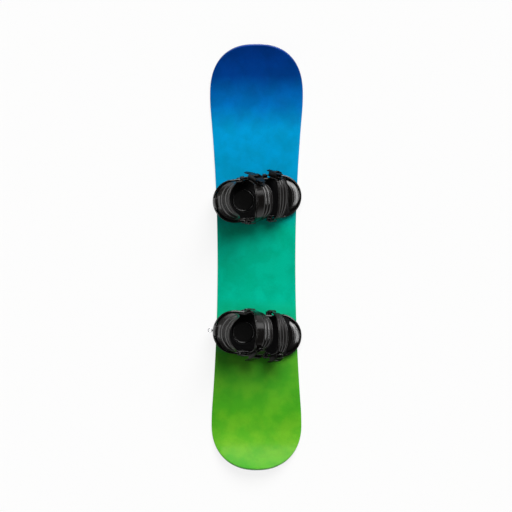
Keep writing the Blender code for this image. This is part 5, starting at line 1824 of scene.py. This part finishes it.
@dataclass
class Stage:
    """Pale floor, soft studio light and a camera straight above, at a long distance."""

    centre: Pair = (-1.6 * MM, 12.2 * MM)
    view_width: float = 1.6645  # metres across the picture at the view's level
    view_level: float = 9.0 * MM
    distance: float = 8.0
    sensor: float = 36.0        # millimetres
    floor_level: float = -0.2 * MM
    floor_radius: float = 4.0
    floor_glow: float = 0.84    # how far the floor goes to white where it is seen
    sun_strength: float = 3.2
    sun_angle: float = 40.0
    sun_from: Triple = (0.30, 0.92, 1.0)
    fill: float = 0.25
    zenith: float = 0.07
    horizon: Pair = (0.03, 0.25)
    panels: tuple[SoftPanel, ...] = (
        SoftPanel("soft_panel_right", (1.5, 0.2, 2.6), 3.0, 0.5, 54.0),
        SoftPanel("soft_panel_left", (-2.0, -0.1, 2.1), 2.4, 0.6, 21.0),
        SoftPanel("soft_panel_corner", (2.4, 1.46, 1.0), 1.2, 0.8, 10.0),
        SoftPanel("soft_panel_far", (-0.2, 2.9, 1.5), 2.6, 0.4, 24.0),
    )

    def build_floor(self) -> None:
        """A round floor, mixed with light of its own for camera and reflections, up to white."""
        count = 96
        rim = np.insert(self.floor_radius * on_circle(full_turn(count)), 2, self.floor_level, axis=1)
        floor = add_mesh("studio_floor", rim, [list(range(count))])
        material = bpy.data.materials.new("matt seamless paper")
        material.use_nodes = True
        tree = material.node_tree
        tree.nodes.clear()
        paper = add_node(tree, "BsdfDiffuse", {"Color": hex_colour("F4F4F3")})
        lit = add_node(tree, "Emission", {"Color": hex_colour("FFFFFF")})
        rays = add_node(tree, "LightPath")
        seen = add_node(tree, "Math", {
            0: rays.outputs["Is Glossy Ray"], 1: rays.outputs["Is Transmission Ray"]}, operation="MAXIMUM")
        seen = add_node(tree, "Math", {0: rays.outputs["Is Camera Ray"], 1: seen}, operation="MAXIMUM")
        share = add_node(tree, "Math", {0: seen, 1: self.floor_glow}, operation="MULTIPLY")
        both = add_node(tree, "MixShader", {0: share, 1: paper, 2: lit})
        add_node(tree, "OutputMaterial", {"Surface": both})
        floor.data.materials.append(material)

    def build_world(self) -> None:
        """White to the camera and, towards the horizon, to reflections; dim for its light.

        A reflection darkens from white to the zenith's level between the horizon's two heights,
        2 and 14 degrees up, as under a dark studio ceiling.
        """
        world = bpy.data.worlds.new("studio")
        bpy.context.scene.world = world
        world.use_nodes = True
        tree = world.node_tree
        tree.nodes.clear()
        rays = add_node(tree, "LightPath")
        mirror = rays.outputs["Is Glossy Ray"]
        way = add_node(tree, "TexCoord").outputs["Generated"]
        height = add_node(tree, "SeparateXYZ", {"Vector": way}).outputs["Z"]
        reflected = add_node(tree, "MapRange", {
            "Value": height, "From Min": self.horizon[0], "From Max": self.horizon[1],
            "To Min": 1.0, "To Max": self.zenith})
        shown = add_node(tree, "Math", {0: reflected, 1: mirror}, operation="MULTIPLY")
        seen = add_node(tree, "Math", {
            0: rays.outputs["Is Camera Ray"], 1: rays.outputs["Is Transmission Ray"]}, operation="MAXIMUM")
        first = add_node(tree, "Math", {0: shown, 1: seen}, operation="MAXIMUM")
        diffuse = add_node(tree, "Math", {0: mirror, 1: -self.fill, 2: self.fill}, operation="MULTIPLY_ADD")
        level = add_node(tree, "Math", {0: first, 1: diffuse}, operation="MAXIMUM")
        light = add_node(tree, "Background", {"Color": hex_colour("FFFFFF"), "Strength": level})
        add_node(tree, "OutputWorld", {"Surface": light})

    def build_lights(self) -> None:
        """One soft sun from beyond the nose, and panels whose reflections model the black parts."""
        data = bpy.data.lights.new("studio_key", "SUN")
        data.energy = self.sun_strength
        data.angle = math.radians(self.sun_angle)
        sun = linked(bpy.data.objects.new("studio_key", data))
        sun.rotation_euler = Vector(self.sun_from).to_track_quat("Z", "Y").to_euler()
        for panel in self.panels:
            panel.build()

    def build_camera(self) -> None:
        """Straight down with the nose up the picture, and a lens for the frame's width."""
        data = bpy.data.cameras.new("studio_camera")
        data.sensor_width = self.sensor
        data.lens = self.sensor * (self.distance - self.view_level) / self.view_width
        data.clip_end = 40.0
        camera = linked(bpy.data.objects.new("studio_camera", data))
        camera.location = (*self.centre, self.distance)
        bpy.context.scene.camera = camera

    def build(self) -> None:
        """Makes the whole stage."""
        self.build_floor()
        self.build_world()
        self.build_lights()
        self.build_camera()
        bpy.context.scene.view_settings.view_transform = "Standard"


def main() -> None:
    """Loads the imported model, dresses it and sets the stage."""
    logging.basicConfig(level=logging.INFO, format="%(message)s")
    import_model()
    Board().build()
    front = Binding("front", 1, 197.5 * MM, 6.5 * DEG)
    rear = Binding("rear", -1, -239.5 * MM, -5.0 * DEG)
    for binding in (front, rear):
        binding.build()
        ankle_strap(binding).build()
        toe_strap(binding).build()
    Stage().build()


if __name__ == "__main__":
    main()
